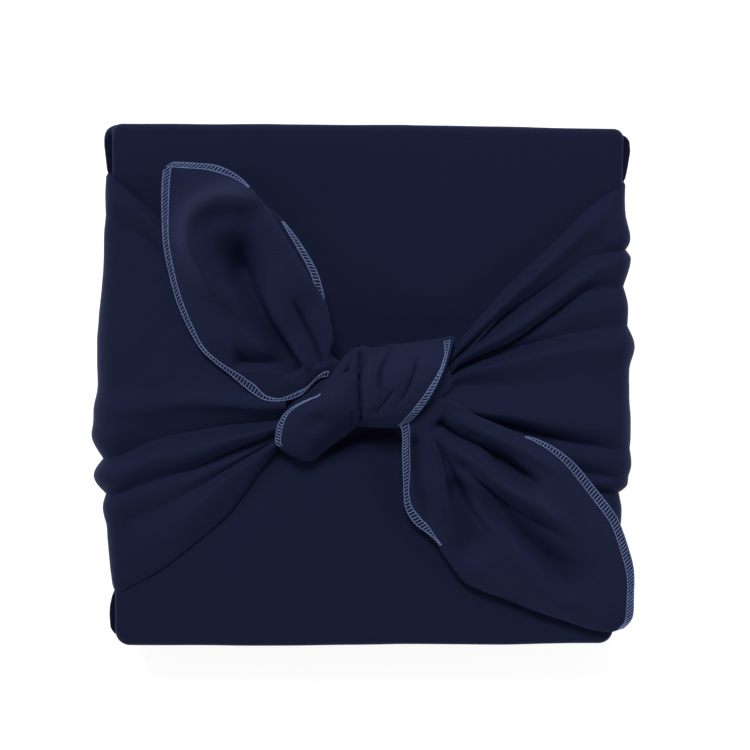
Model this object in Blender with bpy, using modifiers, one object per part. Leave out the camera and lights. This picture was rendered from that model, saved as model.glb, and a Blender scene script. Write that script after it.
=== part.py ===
"""A flat square box wrapped in one furoshiki cloth and tied over the lid.

The cloth is one piece, so the model is one closed solid: the smooth parcel, a
gathered wing on either side, a lobe in each corner, the square knot and its two
free ends. Metres, +Z up. The origin is the middle of the underside, X runs
across the tied sides and Y along the smooth ones.
"""

import math
from collections import namedtuple

import bmesh
import bpy
from mathutils import Vector

MM = 0.001

# Driving dimensions.
PARCEL_WIDTH = 0.218  # X, between the two tied sides
PARCEL_LENGTH = 0.226  # Y, between the two smooth sides
PARCEL_HEIGHT = 0.042  # Z, from the underside to the lid
EDGE_RADIUS = 0.003
END_THICKNESS = 0.002
WING_DEPTH = 0.002  # how far a wing is sunk in the parcel, under EDGE_RADIUS
WING_FOOT = 0.0015  # a wing's lower edge above the underside
WALL_FAN = 0.45  # share of a fold's slant that it keeps on the side wall

# Mesh density.
WING_COLUMNS = 38
LID_ROWS = 12
EDGE_ROWS = 3
WALL_ROWS = 6
END_ROWS = 20
END_COLUMNS = 12
STRAND_ROWS = 14
STRAND_SIDES = 20

CLOTH_NAVY = (0.010, 0.012, 0.032, 1.0)
CLOTH_ROUGHNESS = 0.85

# One fold of a wing, in mm. It leaves the knot at root_x (from the middle, towards the
# wing's side), root_y and root_rise above the lid, crosses the lid's edge at edge_y, and
# stands out from the edge by bulge.
# bow is how far the middle of its run over the lid is pushed along Y.
Fold = namedtuple("Fold", "root_x root_y root_rise edge_y bulge bow")

RIGHT_FOLDS = (
    Fold(31, 17.5, 14.0, 86.0, 1.0, 2.0),
    Fold(31, 15.5, 13.5, 80.0, 1.8, 2.0),
    Fold(31, 13.5, 9.5, 67.0, 0.8, 1.0),
    Fold(31, 12.0, 12.5, 58.0, 2.8, -3.0),
    Fold(31, 10.0, 8.0, 49.5, 0.4, -1.5),
    Fold(31, 8.5, 9.0, 37.0, 1.8, -1.0),
    Fold(31, 7.0, 13.0, 21.8, 5.0, 0.0),
    Fold(31, 2.0, 10.0, 5.0, 3.3, 0.0),
    Fold(31, -1.0, 9.5, -9.0, 3.0, 0.0),
    Fold(31, -4.5, 12.5, -22.8, 5.0, 0.0),
    Fold(31, -6.5, 10.5, -37.0, 5.0, 0.0),
    Fold(30, -8.0, 8.0, -45.0, 0.8, 0.0),
    Fold(29, -9.5, 9.0, -58.0, 2.2, -1.0),
    Fold(28, -11.0, 8.0, -74.0, 1.2, -2.0),
    Fold(27, -12.5, 8.5, -85.0, 1.6, -3.0),
    Fold(26, -13.5, 8.0, -89.0, 0.9, -3.0),
)

LEFT_FOLDS = (
    Fold(26, 3.0, 9.0, 87.0, 1.0, 3.0),
    Fold(27, 1.5, 8.5, 80.0, 2.2, 2.0),
    Fold(28, -0.5, 7.0, 73.0, 1.6, 2.0),
    Fold(29, -3.0, 8.0, 58.0, 3.0, 1.0),
    Fold(30, -5.0, 7.5, 36.0, 5.4, 1.0),
    Fold(31, -7.0, 8.0, 19.0, 6.6, 0.0),
    Fold(32, -9.0, 7.0, 2.5, 5.4, 1.5),
    Fold(33, -12.0, 9.5, -17.0, 8.6, 1.0),
    Fold(34, -14.5, 6.5, -26.5, 6.6, 0.5),
    Fold(35, -16.5, 8.5, -37.0, 7.6, 1.0),
    Fold(36, -19.0, 6.0, -46.5, 3.6, 3.0),
    Fold(37, -22.5, 8.5, -60.0, 3.4, -4.0),
    Fold(37, -24.0, 6.5, -76.0, 1.8, -6.5),
    Fold(37, -26.0, 7.5, -86.0, 1.8, -8.5),
    Fold(36, -27.5, 6.0, -91.4, 0.9, -9.0),
)

# One section of a free end, in mm: its two borders and five heights above the lid,
# from the left border to the right one.
Section = namedtuple(
    "Section",
    "left_x left_y right_x right_y rise_left rise_inner_left rise_middle rise_inner_right rise_right",
)

UPPER_END = (
    Section(-2, -6, 6, 12, 12, 12, 12, 12, 12),
    Section(-18, 6, -6, 17, 13, 12, 12, 13, 14),
    Section(-28, 0, -13, 20, 11, 13, 11, 14, 17),
    Section(-36, -3.5, -14, 27, 10, 13, 10, 14, 19),
    Section(-45, -2.5, -16, 35, 10, 12, 8, 13, 19),
    Section(-57, 7, -22, 48, 12, 12, 6, 9, 17),
    Section(-70, 19, -30.5, 60, 13, 11, 5, 6, 15),
    Section(-80, 40, -39, 74, 14, 12, 6, 5, 14),
    Section(-85, 62, -48, 86, 14, 13, 10, 6, 12),
    Section(-86, 85, -62, 95, 11, 12, 11, 9, 10),
    Section(-84, 95, -79, 97, 10, 10, 10, 10, 10),
)

LOWER_END = (
    Section(2, -4, 22, 10, 13, 13, 13, 13, 13),
    Section(15, -13, 29, -2, 13, 12, 15, 15, 16),
    Section(16, -26, 46, -9, 10, 8, 14, 13, 16),
    Section(16.5, -38, 57, -14.5, 8, 6, 12, 10, 15),
    Section(17.5, -50, 70, -19, 7, 5, 10, 11, 14),
    Section(23, -58, 80, -24, 6, 6, 9, 10, 13),
    Section(33, -67, 91, -33, 5, 8, 8, 10, 12),
    Section(45, -82, 104, -49, 5, 9, 7, 9, 10),
    Section(63, -90, 112.5, -66, 5, 9, 6, 7, 8),
    Section(86, -98.5, 115.5, -79, 5, 8, 6, 6, 7),
    Section(99, -103, 115.5, -91, 5, 7, 6, 6, 6),
    Section(108, -104.5, 112, -101, 5, 5, 5, 5, 5),
)

# One ring of a rounded strand of the knot, in mm: its middle, its half width across
# the strand and its half thickness. rise is above the lid.
Ring = namedtuple("Ring", "x y rise half_width half_thickness")

KNOT_BAND = (
    Ring(14, 21, 2, 17, 3),
    Ring(14, 20.5, 8, 20, 3.5),
    Ring(13.8, 17, 15, 20.5, 4.2),
    Ring(13, 9, 20, 20, 5),
    Ring(11.5, 1, 20.5, 18, 5.5),
    Ring(9.5, -6, 17.5, 15, 5),
    Ring(7.5, -12, 11, 11, 3.5),
    Ring(6, -14, 5, 9, 2.5),
)

KNOT_LOBE = (
    Ring(4, 8, 12, 8, 6),
    Ring(-6, 4, 12, 12, 7),
    Ring(-15, -6, 11, 13.5, 8),
    Ring(-23, -15, 9, 13, 7.5),
    Ring(-28, -21.5, 7, 10, 6),
    Ring(-31, -25, 5.5, 6, 3),
)

KNOT_CORE = (
    Ring(-14, 6, 7, 8, 6),
    Ring(0, 4, 8, 13, 8),
    Ring(14, 2, 9, 15, 9),
    Ring(28, 3, 9, 13, 7),
    Ring(36, 4, 8, 9, 5),
)

# A corner lobe's middle, as insets from the parcel's corner, and its half sizes.
LOBE_INSET_X = 0.0022
LOBE_INSET_Y = 0.0145
LOBE_HALF = (0.0060, 0.0138, 0.0195)
LOBE_HEIGHT = 0.0215
LOBE_SEGMENTS = 16
LOBE_RINGS = 10


def spline(rows, position):
    """Point at a position from 0 to 1 along a smooth curve through tuples of numbers."""
    place = position * (len(rows) - 1)
    index = min(int(place), len(rows) - 2)
    part = place - index
    before = rows[max(index - 1, 0)]
    start = rows[index]
    end = rows[index + 1]
    after = rows[min(index + 2, len(rows) - 1)]
    result = []
    for p0, p1, p2, p3 in zip(before, start, end, after):
        bend = 2 * p0 - 5 * p1 + 4 * p2 - p3
        swing = 3 * p1 - 3 * p2 + p3 - p0
        result.append(p1 + 0.5 * part * ((p2 - p0) + part * (bend + part * swing)))
    return result


def wrap(side, run, y, off):
    """Point that stands off from the parcel, at a run over the lid and down a side wall.

    side is +1 or -1 along X, and run is measured flat: past the rounded edge it goes on
    down the wall.
    """
    corner = PARCEL_WIDTH / 2 - EDGE_RADIUS
    arc = EDGE_RADIUS * math.pi / 2
    if run <= corner:
        return Vector((side * run, y, PARCEL_HEIGHT + off))
    if run <= corner + arc:
        angle = (run - corner) / EDGE_RADIUS
        reach = EDGE_RADIUS + off
        x = corner + reach * math.sin(angle)
        return Vector((side * x, y, PARCEL_HEIGHT - EDGE_RADIUS + reach * math.cos(angle)))
    drop = run - corner - arc
    return Vector((side * (PARCEL_WIDTH / 2 + off), y, PARCEL_HEIGHT - EDGE_RADIUS - drop))


def add_grid(bm, points):
    """Vertices of a grid of points, row by row."""
    return [[bm.verts.new(point) for point in row] for row in points]


def skin_grid(bm, grid, flip=False):
    """Quads over a grid of vertices."""
    for lower, upper in zip(grid, grid[1:]):
        for index in range(len(lower) - 1):
            corners = [lower[index], lower[index + 1], upper[index + 1], upper[index]]
            bm.faces.new(corners[::-1] if flip else corners)


def mesh_object(name, bm, collection):
    """Object from a bmesh, with its faces turned outwards."""
    bmesh.ops.recalc_face_normals(bm, faces=bm.faces)
    mesh = bpy.data.meshes.new(name)
    bm.to_mesh(mesh)
    bm.free()
    result = bpy.data.objects.new(name, mesh)
    collection.objects.link(result)
    return result


def make_parcel(name, collection):
    """The wrapped box: a cube at its real size with rounded edges."""
    bm = bmesh.new()
    bmesh.ops.create_cube(bm, size=1.0)
    size = Vector((PARCEL_WIDTH, PARCEL_LENGTH, PARCEL_HEIGHT))
    bmesh.ops.scale(bm, vec=size, verts=bm.verts)
    bmesh.ops.translate(bm, vec=(0, 0, PARCEL_HEIGHT / 2), verts=bm.verts)
    parcel = mesh_object(name, bm, collection)
    rounding = parcel.modifiers.new("rounded edges", "BEVEL")
    rounding.width = EDGE_RADIUS
    rounding.segments = 3
    return parcel


def wing_line(side, fold, depth):
    """Points along one fold of a wing, from the knot over the lid's edge to its foot.

    depth is None for the outer surface, or how far below the parcel's surface to run.
    """
    corner = PARCEL_WIDTH / 2 - EDGE_RADIUS
    arc = EDGE_RADIUS * math.pi / 2
    wall = PARCEL_HEIGHT - EDGE_RADIUS - WING_FOOT
    slant = (fold.edge_y - fold.root_y) / (corner / MM - fold.root_x)
    line = []
    for row in range(LID_ROWS + 1):
        share = row / LID_ROWS
        run = fold.root_x * MM + share * (corner - fold.root_x * MM)
        y = fold.root_y + share * (fold.edge_y - fold.root_y) + math.sin(math.pi * share) * fold.bow
        off = fold.root_rise + share * (fold.bulge - fold.root_rise)
        line.append((run, y * MM, off * MM))
    falls = [arc * (row + 1) / EDGE_ROWS for row in range(EDGE_ROWS)]
    falls += [arc + wall * (row + 1) / WALL_ROWS for row in range(WALL_ROWS)]
    for fall in falls:
        share = fall / (arc + wall)
        y = fold.edge_y * MM + WALL_FAN * slant * fall
        line.append((corner + fall, y, fold.bulge * MM * (1 - 0.6 * share * share)))
    if depth is not None:
        line = [(run, y, -depth) for run, y, off in line]
    return [wrap(side, *place) for place in line]


def make_wing(name, side, folds, collection):
    """A gathered side of the cloth: its outer folds, closed just inside the parcel."""
    columns = [Fold(*spline(folds, column / WING_COLUMNS)) for column in range(WING_COLUMNS + 1)]
    bm = bmesh.new()
    outer = add_grid(bm, [wing_line(side, fold, None) for fold in columns])
    inner = add_grid(bm, [wing_line(side, fold, WING_DEPTH) for fold in columns])
    skin_grid(bm, outer)
    skin_grid(bm, inner, flip=True)
    skin_grid(bm, [outer[0], inner[0]], flip=True)
    skin_grid(bm, [outer[-1], inner[-1]])
    skin_grid(bm, [[row[0] for row in outer], [row[0] for row in inner]])
    skin_grid(bm, [[row[-1] for row in outer], [row[-1] for row in inner]], flip=True)
    return mesh_object(name, bm, collection)


def make_corner_lobe(name, side_x, side_y, collection):
    """The rounded lobe of cloth that is tucked in at a corner of the parcel."""
    bm = bmesh.new()
    bmesh.ops.create_uvsphere(bm, u_segments=LOBE_SEGMENTS, v_segments=LOBE_RINGS, radius=1.0)
    bmesh.ops.scale(bm, vec=Vector(LOBE_HALF), verts=bm.verts)
    x = side_x * (PARCEL_WIDTH / 2 - LOBE_INSET_X)
    y = side_y * (PARCEL_LENGTH / 2 - LOBE_INSET_Y)
    bmesh.ops.translate(bm, vec=(x, y, LOBE_HEIGHT), verts=bm.verts)
    return mesh_object(name, bm, collection)


def make_end(name, sections, collection):
    """A free end of the cloth: a thin sheet over its folds."""
    points = []
    for row in range(END_ROWS + 1):
        section = Section(*spline(sections, row / END_ROWS))
        left = Vector((section.left_x, section.left_y))
        right = Vector((section.right_x, section.right_y))
        rises = [(rise,) for rise in section[4:]]
        line = []
        for column in range(END_COLUMNS + 1):
            share = column / END_COLUMNS
            place = left.lerp(right, share) * MM
            line.append(Vector((*place, PARCEL_HEIGHT + spline(rises, share)[0] * MM)))
        points.append(line)
    bm = bmesh.new()
    skin_grid(bm, add_grid(bm, points))
    end = mesh_object(name, bm, collection)
    thickness = end.modifiers.new("cloth thickness", "SOLIDIFY")
    thickness.thickness = END_THICKNESS
    thickness.offset = 0.0
    return end


def make_strand(name, rings, collection):
    """A rounded strand of the knot: rings along its run, closed at both ends."""
    places = [Ring(*spline(rings, row / STRAND_ROWS)) for row in range(STRAND_ROWS + 1)]
    middles = [Vector((ring.x, ring.y, ring.rise)) * MM for ring in places]
    bm = bmesh.new()
    loops = []
    for index, ring in enumerate(places):
        ahead = middles[min(index + 1, STRAND_ROWS)]
        behind = middles[max(index - 1, 0)]
        run = (ahead - behind).normalized()
        across = Vector((-run.y, run.x, 0.0)).normalized()
        thick = run.cross(across)
        centre = middles[index] + Vector((0, 0, PARCEL_HEIGHT))
        loop = []
        for side in range(STRAND_SIDES):
            angle = 2 * math.pi * side / STRAND_SIDES
            offset = across * ring.half_width * math.cos(angle)
            offset += thick * ring.half_thickness * math.sin(angle)
            loop.append(bm.verts.new(centre + offset * MM))
        loops.append(loop)
    for loop, following in zip(loops, loops[1:]):
        for side in range(STRAND_SIDES):
            after = (side + 1) % STRAND_SIDES
            bm.faces.new((loop[side], loop[after], following[after], following[side]))
    bm.faces.new(loops[0][::-1])
    bm.faces.new(loops[-1])
    return mesh_object(name, bm, collection)


def join_solid(target, piece):
    """Union a piece into the target and keep the piece as a hidden guide."""
    piece.hide_render = True
    piece.display_type = "WIRE"
    union = target.modifiers.new(piece.name, "BOOLEAN")
    union.operation = "UNION"
    union.solver = "EXACT"
    union.object = piece


def cloth_material():
    """Plain navy cotton."""
    material = bpy.data.materials.new("navy cotton")
    material.use_nodes = True
    shader = material.node_tree.nodes["Principled BSDF"]
    shader.inputs["Base Color"].default_value = CLOTH_NAVY
    shader.inputs["Roughness"].default_value = CLOTH_ROUGHNESS
    shader.inputs["Metallic"].default_value = 0.0
    return material


def new_collection(name):
    """Collection under the scene's own."""
    collection = bpy.data.collections.new(name)
    bpy.context.scene.collection.children.link(collection)
    return collection


def main():
    """Build the wrapped parcel as one solid."""
    for old in list(bpy.data.objects):
        bpy.data.objects.remove(old, do_unlink=True)
    wrap_collection = new_collection("furoshiki wrap")
    guides = new_collection("guides")

    cloth = make_parcel("furoshiki_cloth", wrap_collection)
    pieces = [
        make_wing("right_wing", 1, RIGHT_FOLDS, guides),
        make_wing("left_wing", -1, LEFT_FOLDS, guides),
    ]
    for side_x in (-1, 1):
        for side_y in (-1, 1):
            name = f"corner_lobe_{'left' if side_x < 0 else 'right'}_{'front' if side_y < 0 else 'back'}"
            pieces.append(make_corner_lobe(name, side_x, side_y, guides))
    pieces += [
        make_strand("knot_core", KNOT_CORE, guides),
        make_strand("knot_lobe", KNOT_LOBE, guides),
        make_strand("knot_band", KNOT_BAND, guides),
        make_end("upper_end", UPPER_END, guides),
        make_end("lower_end", LOWER_END, guides),
    ]
    for piece in pieces:
        join_solid(cloth, piece)
    cloth.data.materials.append(cloth_material())


main()
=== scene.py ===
"""Looks of a flat square box wrapped in one navy cotton cloth and tied over the lid.

The smooth parcel, the gathered wing on either side, the two free ends with their
overlocked hems and the square knot are each modelled at their own size, in the frame of
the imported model: metres, +Z up, the origin in the middle of the underside.
"""

import logging
import math
from dataclasses import dataclass
from enum import Enum
from typing import Sequence, Union

import bpy
import numpy as np
from mathutils import Matrix, Vector

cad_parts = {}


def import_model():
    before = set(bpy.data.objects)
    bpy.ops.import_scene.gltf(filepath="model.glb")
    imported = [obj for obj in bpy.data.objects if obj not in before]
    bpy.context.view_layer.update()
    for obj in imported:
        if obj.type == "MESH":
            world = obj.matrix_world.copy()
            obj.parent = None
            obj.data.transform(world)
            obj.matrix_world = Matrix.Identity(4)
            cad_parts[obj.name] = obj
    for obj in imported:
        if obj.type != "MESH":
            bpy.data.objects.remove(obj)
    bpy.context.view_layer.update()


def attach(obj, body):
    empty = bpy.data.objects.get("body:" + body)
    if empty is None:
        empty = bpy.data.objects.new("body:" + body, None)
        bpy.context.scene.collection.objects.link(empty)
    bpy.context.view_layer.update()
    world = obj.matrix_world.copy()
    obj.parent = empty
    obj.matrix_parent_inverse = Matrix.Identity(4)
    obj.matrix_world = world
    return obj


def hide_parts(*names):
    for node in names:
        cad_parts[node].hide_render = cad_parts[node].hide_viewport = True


LOG = logging.getLogger("furoshiki")
MM = 0.001
CAD_NODE = "furoshiki_cloth"
BODY = "root"
TURN = 2 * math.pi
CLOTH_THICKNESS = 0.0007
# Columns added where a border is turned under, and rows averaged along that border.
TURN_COLUMNS = 9
SMOOTHING = 17
# The knot's middle, and how far round it the cloth is held up, in mm.
KNOT_MIDDLE = (5.0, 2.0)
KNOT_REACH = 30.0
# Points on a crease's line for each one of its path.
PATH_POINTS = 6

Array = np.ndarray
Piece = bpy.types.Object
Socket = bpy.types.NodeSocket
Colour = tuple[float, float, float]
Setting = Union[str, int, float, bool]
Operand = Union["Maths", float]


# Smooth lines and grids


def spline(rows: Array, places: Array) -> Array:
    """Values of a smooth curve that passes through every row.

    Args:
        rows: One row of numbers for each point the curve passes through.
        places: Positions along the curve, counted in rows from 0.

    Returns:
        One row of numbers for each position.
    """
    last = len(rows) - 1
    index = np.clip(np.floor(places).astype(int), 0, last - 1)
    part = (places - index)[:, None]
    before = rows[np.maximum(index - 1, 0)]
    start = rows[index]
    end = rows[index + 1]
    after = rows[np.minimum(index + 2, last)]
    bend = 2 * before - 5 * start + 4 * end - after
    swing = 3 * start - 3 * end + after - before
    return start + 0.5 * part * ((end - before) + part * (bend + part * swing))


def resting_slopes(places: Array, values: Array) -> Array:
    """Slopes that keep a curve from overshooting its own values.

    Args:
        places: Positions of the values, along the last axis.
        values: Values at those positions, along the last axis.

    Returns:
        The slope at each value: 0 at a top or a bottom.
    """
    steps = np.diff(places, axis=-1)
    secants = np.diff(values, axis=-1) / steps
    slopes = np.zeros_like(values)
    slopes[..., 0] = secants[..., 0]
    slopes[..., -1] = secants[..., -1]
    before = secants[..., :-1]
    after = secants[..., 1:]
    same_way = before * after > 0
    total = np.where(same_way, before + after, 1.0)
    slopes[..., 1:-1] = np.where(same_way, 2 * before * after / total, 0.0)
    return slopes


def hermite(start: Array, end: Array, leave: Array, arrive: Array,
            part: Array) -> Array:
    """Cubic between two values.

    Args:
        start: Values at part 0.
        end: Values at part 1.
        leave: Slopes at part 0, over the whole step.
        arrive: Slopes at part 1, over the whole step.
        part: Positions from 0 to 1.

    Returns:
        The values at those positions.
    """
    square = part * part
    cube = square * part
    result = start * (2 * cube - 3 * square + 1) + leave * (cube - 2 * square + part)
    return result + end * (3 * square - 2 * cube) + arrive * (cube - square)


def follow(stations: Sequence[float], table: Array, runs: Array) -> Array:
    """Smooth lines through a table of values at uneven stations.

    Args:
        stations: Rising positions of the table's columns.
        table: One row of values for each line.
        runs: Positions to read the lines at, held inside the stations.

    Returns:
        A grid with a row for each run and a column for each line.
    """
    places = np.asarray(stations, float)
    slopes = resting_slopes(np.broadcast_to(places, table.shape), table).T
    held = np.clip(runs, places[0], places[-1])
    index = np.clip(np.searchsorted(places, held, side="right") - 1, 0, len(places) - 2)
    step = (places[index + 1] - places[index])[:, None]
    part = (held - places[index])[:, None] / step
    lines = table.T
    return hermite(lines[index], lines[index + 1], slopes[index] * step, slopes[index + 1] * step, part)


def ease(value: Array) -> Array:
    """Smooth step from 0 to 1."""
    held = np.clip(value, 0.0, 1.0)
    return held * held * (3 - 2 * held)


def unevenness(x: Array, y: Array, size: float) -> Array:
    """Gentle hollows and swells such as cloth has.

    Args:
        x: First coordinate, in mm.
        y: Second coordinate, in mm.
        size: Rough width of a swell, in mm.

    Returns:
        The height at each place, from about -1 to 1.
    """
    a = x / size
    b = y / size
    first = np.sin(2.1 * a + 1.3 * np.sin(1.7 * b + 0.4))
    second = np.sin(1.9 * b - 0.8 * a + 1.1 * np.sin(1.3 * a + 2.0))
    third = np.sin(3.7 * (a + 0.6 * b) + 1.6 * np.sin(2.3 * b - 1.0))
    return 0.45 * first + 0.35 * second + 0.2 * third


def unit(rows: Array) -> Array:
    """Vectors along the last axis, brought to length 1."""
    return rows / np.maximum(np.linalg.norm(rows, axis=-1, keepdims=True), 1e-12)


def distances(line: Array) -> Array:
    """Distance run at each point of a line, from 0 at its start."""
    return np.concatenate(([0.0], np.cumsum(np.linalg.norm(np.diff(line, axis=0), axis=1))))


def places_on(line: Array, done: Array, wanted: Union[Array, float]) -> Array:
    """Points of a line at the wanted distances, given the distance run at each of its own."""
    return np.stack([np.interp(wanted, done, line[:, axis]) for axis in range(3)], axis=-1)


def smoothed(rows: Array) -> Array:
    """Average unit vectors with their neighbours.

    Args:
        rows: Unit vectors, one a row.

    Returns:
        The averaged unit vectors.
    """
    weights = np.hanning(SMOOTHING + 2)[1:-1]
    held = np.pad(rows, ((SMOOTHING // 2, SMOOTHING // 2), (0, 0)), mode="edge")
    return unit(np.stack([np.convolve(held[:, axis], weights, mode="valid") for axis in range(3)], axis=-1))


def grid_normals(points: Array, closed: bool = False) -> Array:
    """Unit normals of a grid of points.

    Args:
        points: Rows by columns by 3.
        closed: Whether the columns run on round to the first.

    Returns:
        A unit normal for each point.
    """
    if closed:
        across = np.roll(points, -1, axis=1) - np.roll(points, 1, axis=1)
    else:
        across = np.gradient(points, axis=1)
    return unit(np.cross(np.gradient(points, axis=0), across))


def upward_normals(points: Array, closed: bool = False) -> Array:
    """Unit normals of a grid of points, turned to face up as a whole."""
    normals = grid_normals(points, closed)
    return -normals if normals[..., 2].sum() < 0 else normals


class Press(Enum):
    """How the cloth bends at a crease: the power and the rate of its fall to either side."""

    ROUND = (2, 1.4)
    SHARP = (1, 1.7)


@dataclass(frozen=True)
class Crease:
    """A line pressed into the cloth, in mm, seen from above.

    Its depth is negative where the line stands up as a ridge. Left and right are its widths
    to either side of its run, and its narrowing is its width at the end as a share of that
    at the start.
    """

    path: tuple[tuple[float, float], ...]
    depth: float
    left: float
    right: float
    fade_in: float = 0.12
    fade_out: float = 0.3
    press: Press = Press.ROUND
    narrowing: float = 1.0

    def rise(self, x: Array, y: Array) -> Array:
        """Height that the crease adds.

        Args:
            x: Places along X, in mm.
            y: Places along Y, in mm.

        Returns:
            The added height at each place, in mm.
        """
        rows = np.array(self.path, float)
        line = spline(rows, np.linspace(0, len(rows) - 1, PATH_POINTS * len(rows)))
        done = distances(line)
        nearest = np.full(x.shape, np.inf)
        side = np.ones(x.shape)
        share = np.zeros(x.shape)
        for start, step, behind, ahead in zip(line, np.diff(line, axis=0), done, done[1:]):
            off_x = x - start[0]
            off_y = y - start[1]
            length = ahead - behind
            part = np.clip((off_x * step[0] + off_y * step[1]) / length**2, 0, 1)
            distance = np.hypot(off_x - part * step[0], off_y - part * step[1])
            nearer = distance < nearest
            nearest = np.where(nearer, distance, nearest)
            side = np.where(nearer, np.sign(step[0] * off_y - step[1] * off_x), side)
            share = np.where(nearer, (behind + part * length) / done[-1], share)
        width = np.where(side > 0, self.left, self.right) * (1 + (self.narrowing - 1) * share)
        reach = nearest / width
        power, rate = self.press.value
        fade = ease(share / self.fade_in) * ease((1 - share) / self.fade_out)
        return -self.depth * np.exp(-(reach**power) * rate) * fade


def pressed(creases: Sequence[Crease], x: Array, y: Array) -> Array:
    """Height that several creases add together, in mm."""
    return sum((crease.rise(x, y) for crease in creases), np.zeros_like(x))


def placed(name: str, data: bpy.types.ID) -> Piece:
    """Put a new object in the scene.

    Args:
        name: The object's name.
        data: Its mesh, lamp or camera.

    Returns:
        The object.
    """
    item = bpy.data.objects.new(name, data)
    bpy.context.scene.collection.objects.link(item)
    return item


class Shell:
    """Gathers grids of points into one mesh with its weave coordinates."""

    def __init__(self) -> None:
        """Start with nothing."""
        self.points: list[Array] = []
        self.weave: list[Array] = []
        self.faces: list[Array] = []
        self.count = 0

    def place(self, points: Array, weave: Array) -> Array:
        """Add a grid's points.

        Args:
            points: Rows by columns by 3, in metres.
            weave: Rows by columns by 2, in metres along the cloth's threads.

        Returns:
            The number of each point, rows by columns.
        """
        rows, columns = points.shape[:2]
        numbers = np.arange(rows * columns).reshape(rows, columns) + self.count
        self.points.append(points.reshape(-1, 3))
        self.weave.append(weave.reshape(-1, 2))
        self.count += rows * columns
        return numbers

    def skin(self, numbers: Array, closed: bool = False, flip: bool = False) -> None:
        """Lay faces over a grid of point numbers.

        Args:
            numbers: Rows by columns of point numbers.
            closed: Whether the last column joins the first.
            flip: Whether the faces point the other way.
        """
        if closed:
            numbers = np.concatenate((numbers, numbers[:, :1]), axis=1)
        corners = (numbers[:-1, :-1], numbers[:-1, 1:], numbers[1:, 1:], numbers[1:, :-1])
        quads = np.stack(corners, axis=-1).reshape(-1, 4)
        self.faces.append(quads[:, ::-1] if flip else quads)

    def fan(self, ring: Array, point: Array, weave: Array, flip: bool) -> None:
        """Close a ring of point numbers with triangles round one new point.

        Args:
            ring: Point numbers in order round the ring.
            point: The new point.
            weave: Its weave coordinates.
            flip: Whether the faces point the other way.
        """
        middle = self.place(point.reshape(1, 1, 3), weave.reshape(1, 1, 2))[0, 0]
        triangles = np.stack((ring, np.roll(ring, -1), np.full_like(ring, middle)), axis=-1)
        self.faces.append(triangles[:, ::-1] if flip else triangles)

    def build(self, name: str) -> Piece:
        """Make a smooth-shaded object at the origin, with a UV map named weave.

        Args:
            name: The piece's name.

        Returns:
            The object.
        """
        mesh = bpy.data.meshes.new(name)
        faces = [face for group in self.faces for face in group.tolist()]
        mesh.from_pydata(np.concatenate(self.points).tolist(), [], faces)
        mesh.polygons.foreach_set("use_smooth", np.ones(len(mesh.polygons), dtype=bool))
        corners = np.zeros(len(mesh.loops), dtype=np.int32)
        mesh.loops.foreach_get("vertex_index", corners)
        layer = mesh.uv_layers.new(name="weave")
        layer.data.foreach_set("uv", np.concatenate(self.weave)[corners].astype(np.float32).ravel())
        mesh.update()
        return placed(name, mesh)


def sheet_piece(name: str, points: Array, weave: Array) -> Piece:
    """Closed sheet of cloth over a grid of points.

    Args:
        name: The piece's name.
        points: Rows by columns by 3, the middle of the cloth.
        weave: Rows by columns by 2, along the threads.

    Returns:
        The object.
    """
    half = grid_normals(points) * CLOTH_THICKNESS / 2
    shell = Shell()
    front = shell.place(points + half, weave)
    back = shell.place(points - half, weave)
    shell.skin(front, flip=True)
    shell.skin(back)
    for edge in ((front[0], back[0]), (back[-1], front[-1]), (back[:, 0], front[:, 0]),
                 (front[:, -1], back[:, -1])):
        shell.skin(np.stack(edge))
    return shell.build(name)


def turned_border(edge: Array, out: Array, up: Array, radius: Array,
                  step: Union[Array, float], bends: int,
                  turn: float) -> tuple[Array, Array]:
    """Carry cloth on from a border, round under it and then straight.

    Args:
        edge: The border's points.
        out: The way out of the cloth at each of them.
        up: The cloth's normals.
        radius: The turn's radius, in metres.
        step: How far each straight column goes on, in metres.
        bends: How many of the added columns the turn takes.
        turn: The whole turn, in degrees.

    Returns:
        The added points, from the border on, and the cloth's run from the border to them.
    """
    points: list[Array] = []
    runs: list[Array] = []
    for number in range(1, TURN_COLUMNS + 1):
        angle = math.radians(turn) * min(number / bends, 1.0)
        straight = max(number - bends, 0) * step
        spot = edge + radius * (math.sin(angle) * out - (1 - math.cos(angle)) * up)
        points.append(spot + straight * (math.cos(angle) * out - math.sin(angle) * up))
        runs.append(radius * angle + straight)
    return np.stack(points, axis=1), np.stack(runs, axis=1)


def attached(grid: Array, extra: Array, at_end: bool) -> Array:
    """A grid with columns added beyond its last column or, turned round, before its first."""
    return np.concatenate((grid, extra) if at_end else (extra[:, ::-1], grid), axis=1)


# Finishes


class Maths:
    """A number socket that takes part in Python expressions."""

    def __init__(self, finish: "NodeFinish", socket: Socket) -> None:
        """Keep the finish that the nodes go to, and the socket."""
        self.finish = finish
        self.socket = socket

    def _join(self, operation: str, *values: Operand) -> "Maths":
        """Add one Math node on the values and give its result."""
        node = self.finish.node("ShaderNodeMath", {"operation": operation}, values)
        return Maths(self.finish, node.outputs[0])

    def __add__(self, other: Operand) -> "Maths":
        """Sum."""
        return self._join("ADD", self, other)

    __radd__ = __add__

    def __sub__(self, other: Operand) -> "Maths":
        """Difference."""
        return self._join("SUBTRACT", self, other)

    def __rsub__(self, other: float) -> "Maths":
        """Difference from a number."""
        return self._join("SUBTRACT", other, self)

    def __mul__(self, other: Operand) -> "Maths":
        """Product."""
        return self._join("MULTIPLY", self, other)

    __rmul__ = __mul__

    def sine(self) -> "Maths":
        """Sine of the value."""
        return self._join("SINE", self)


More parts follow.
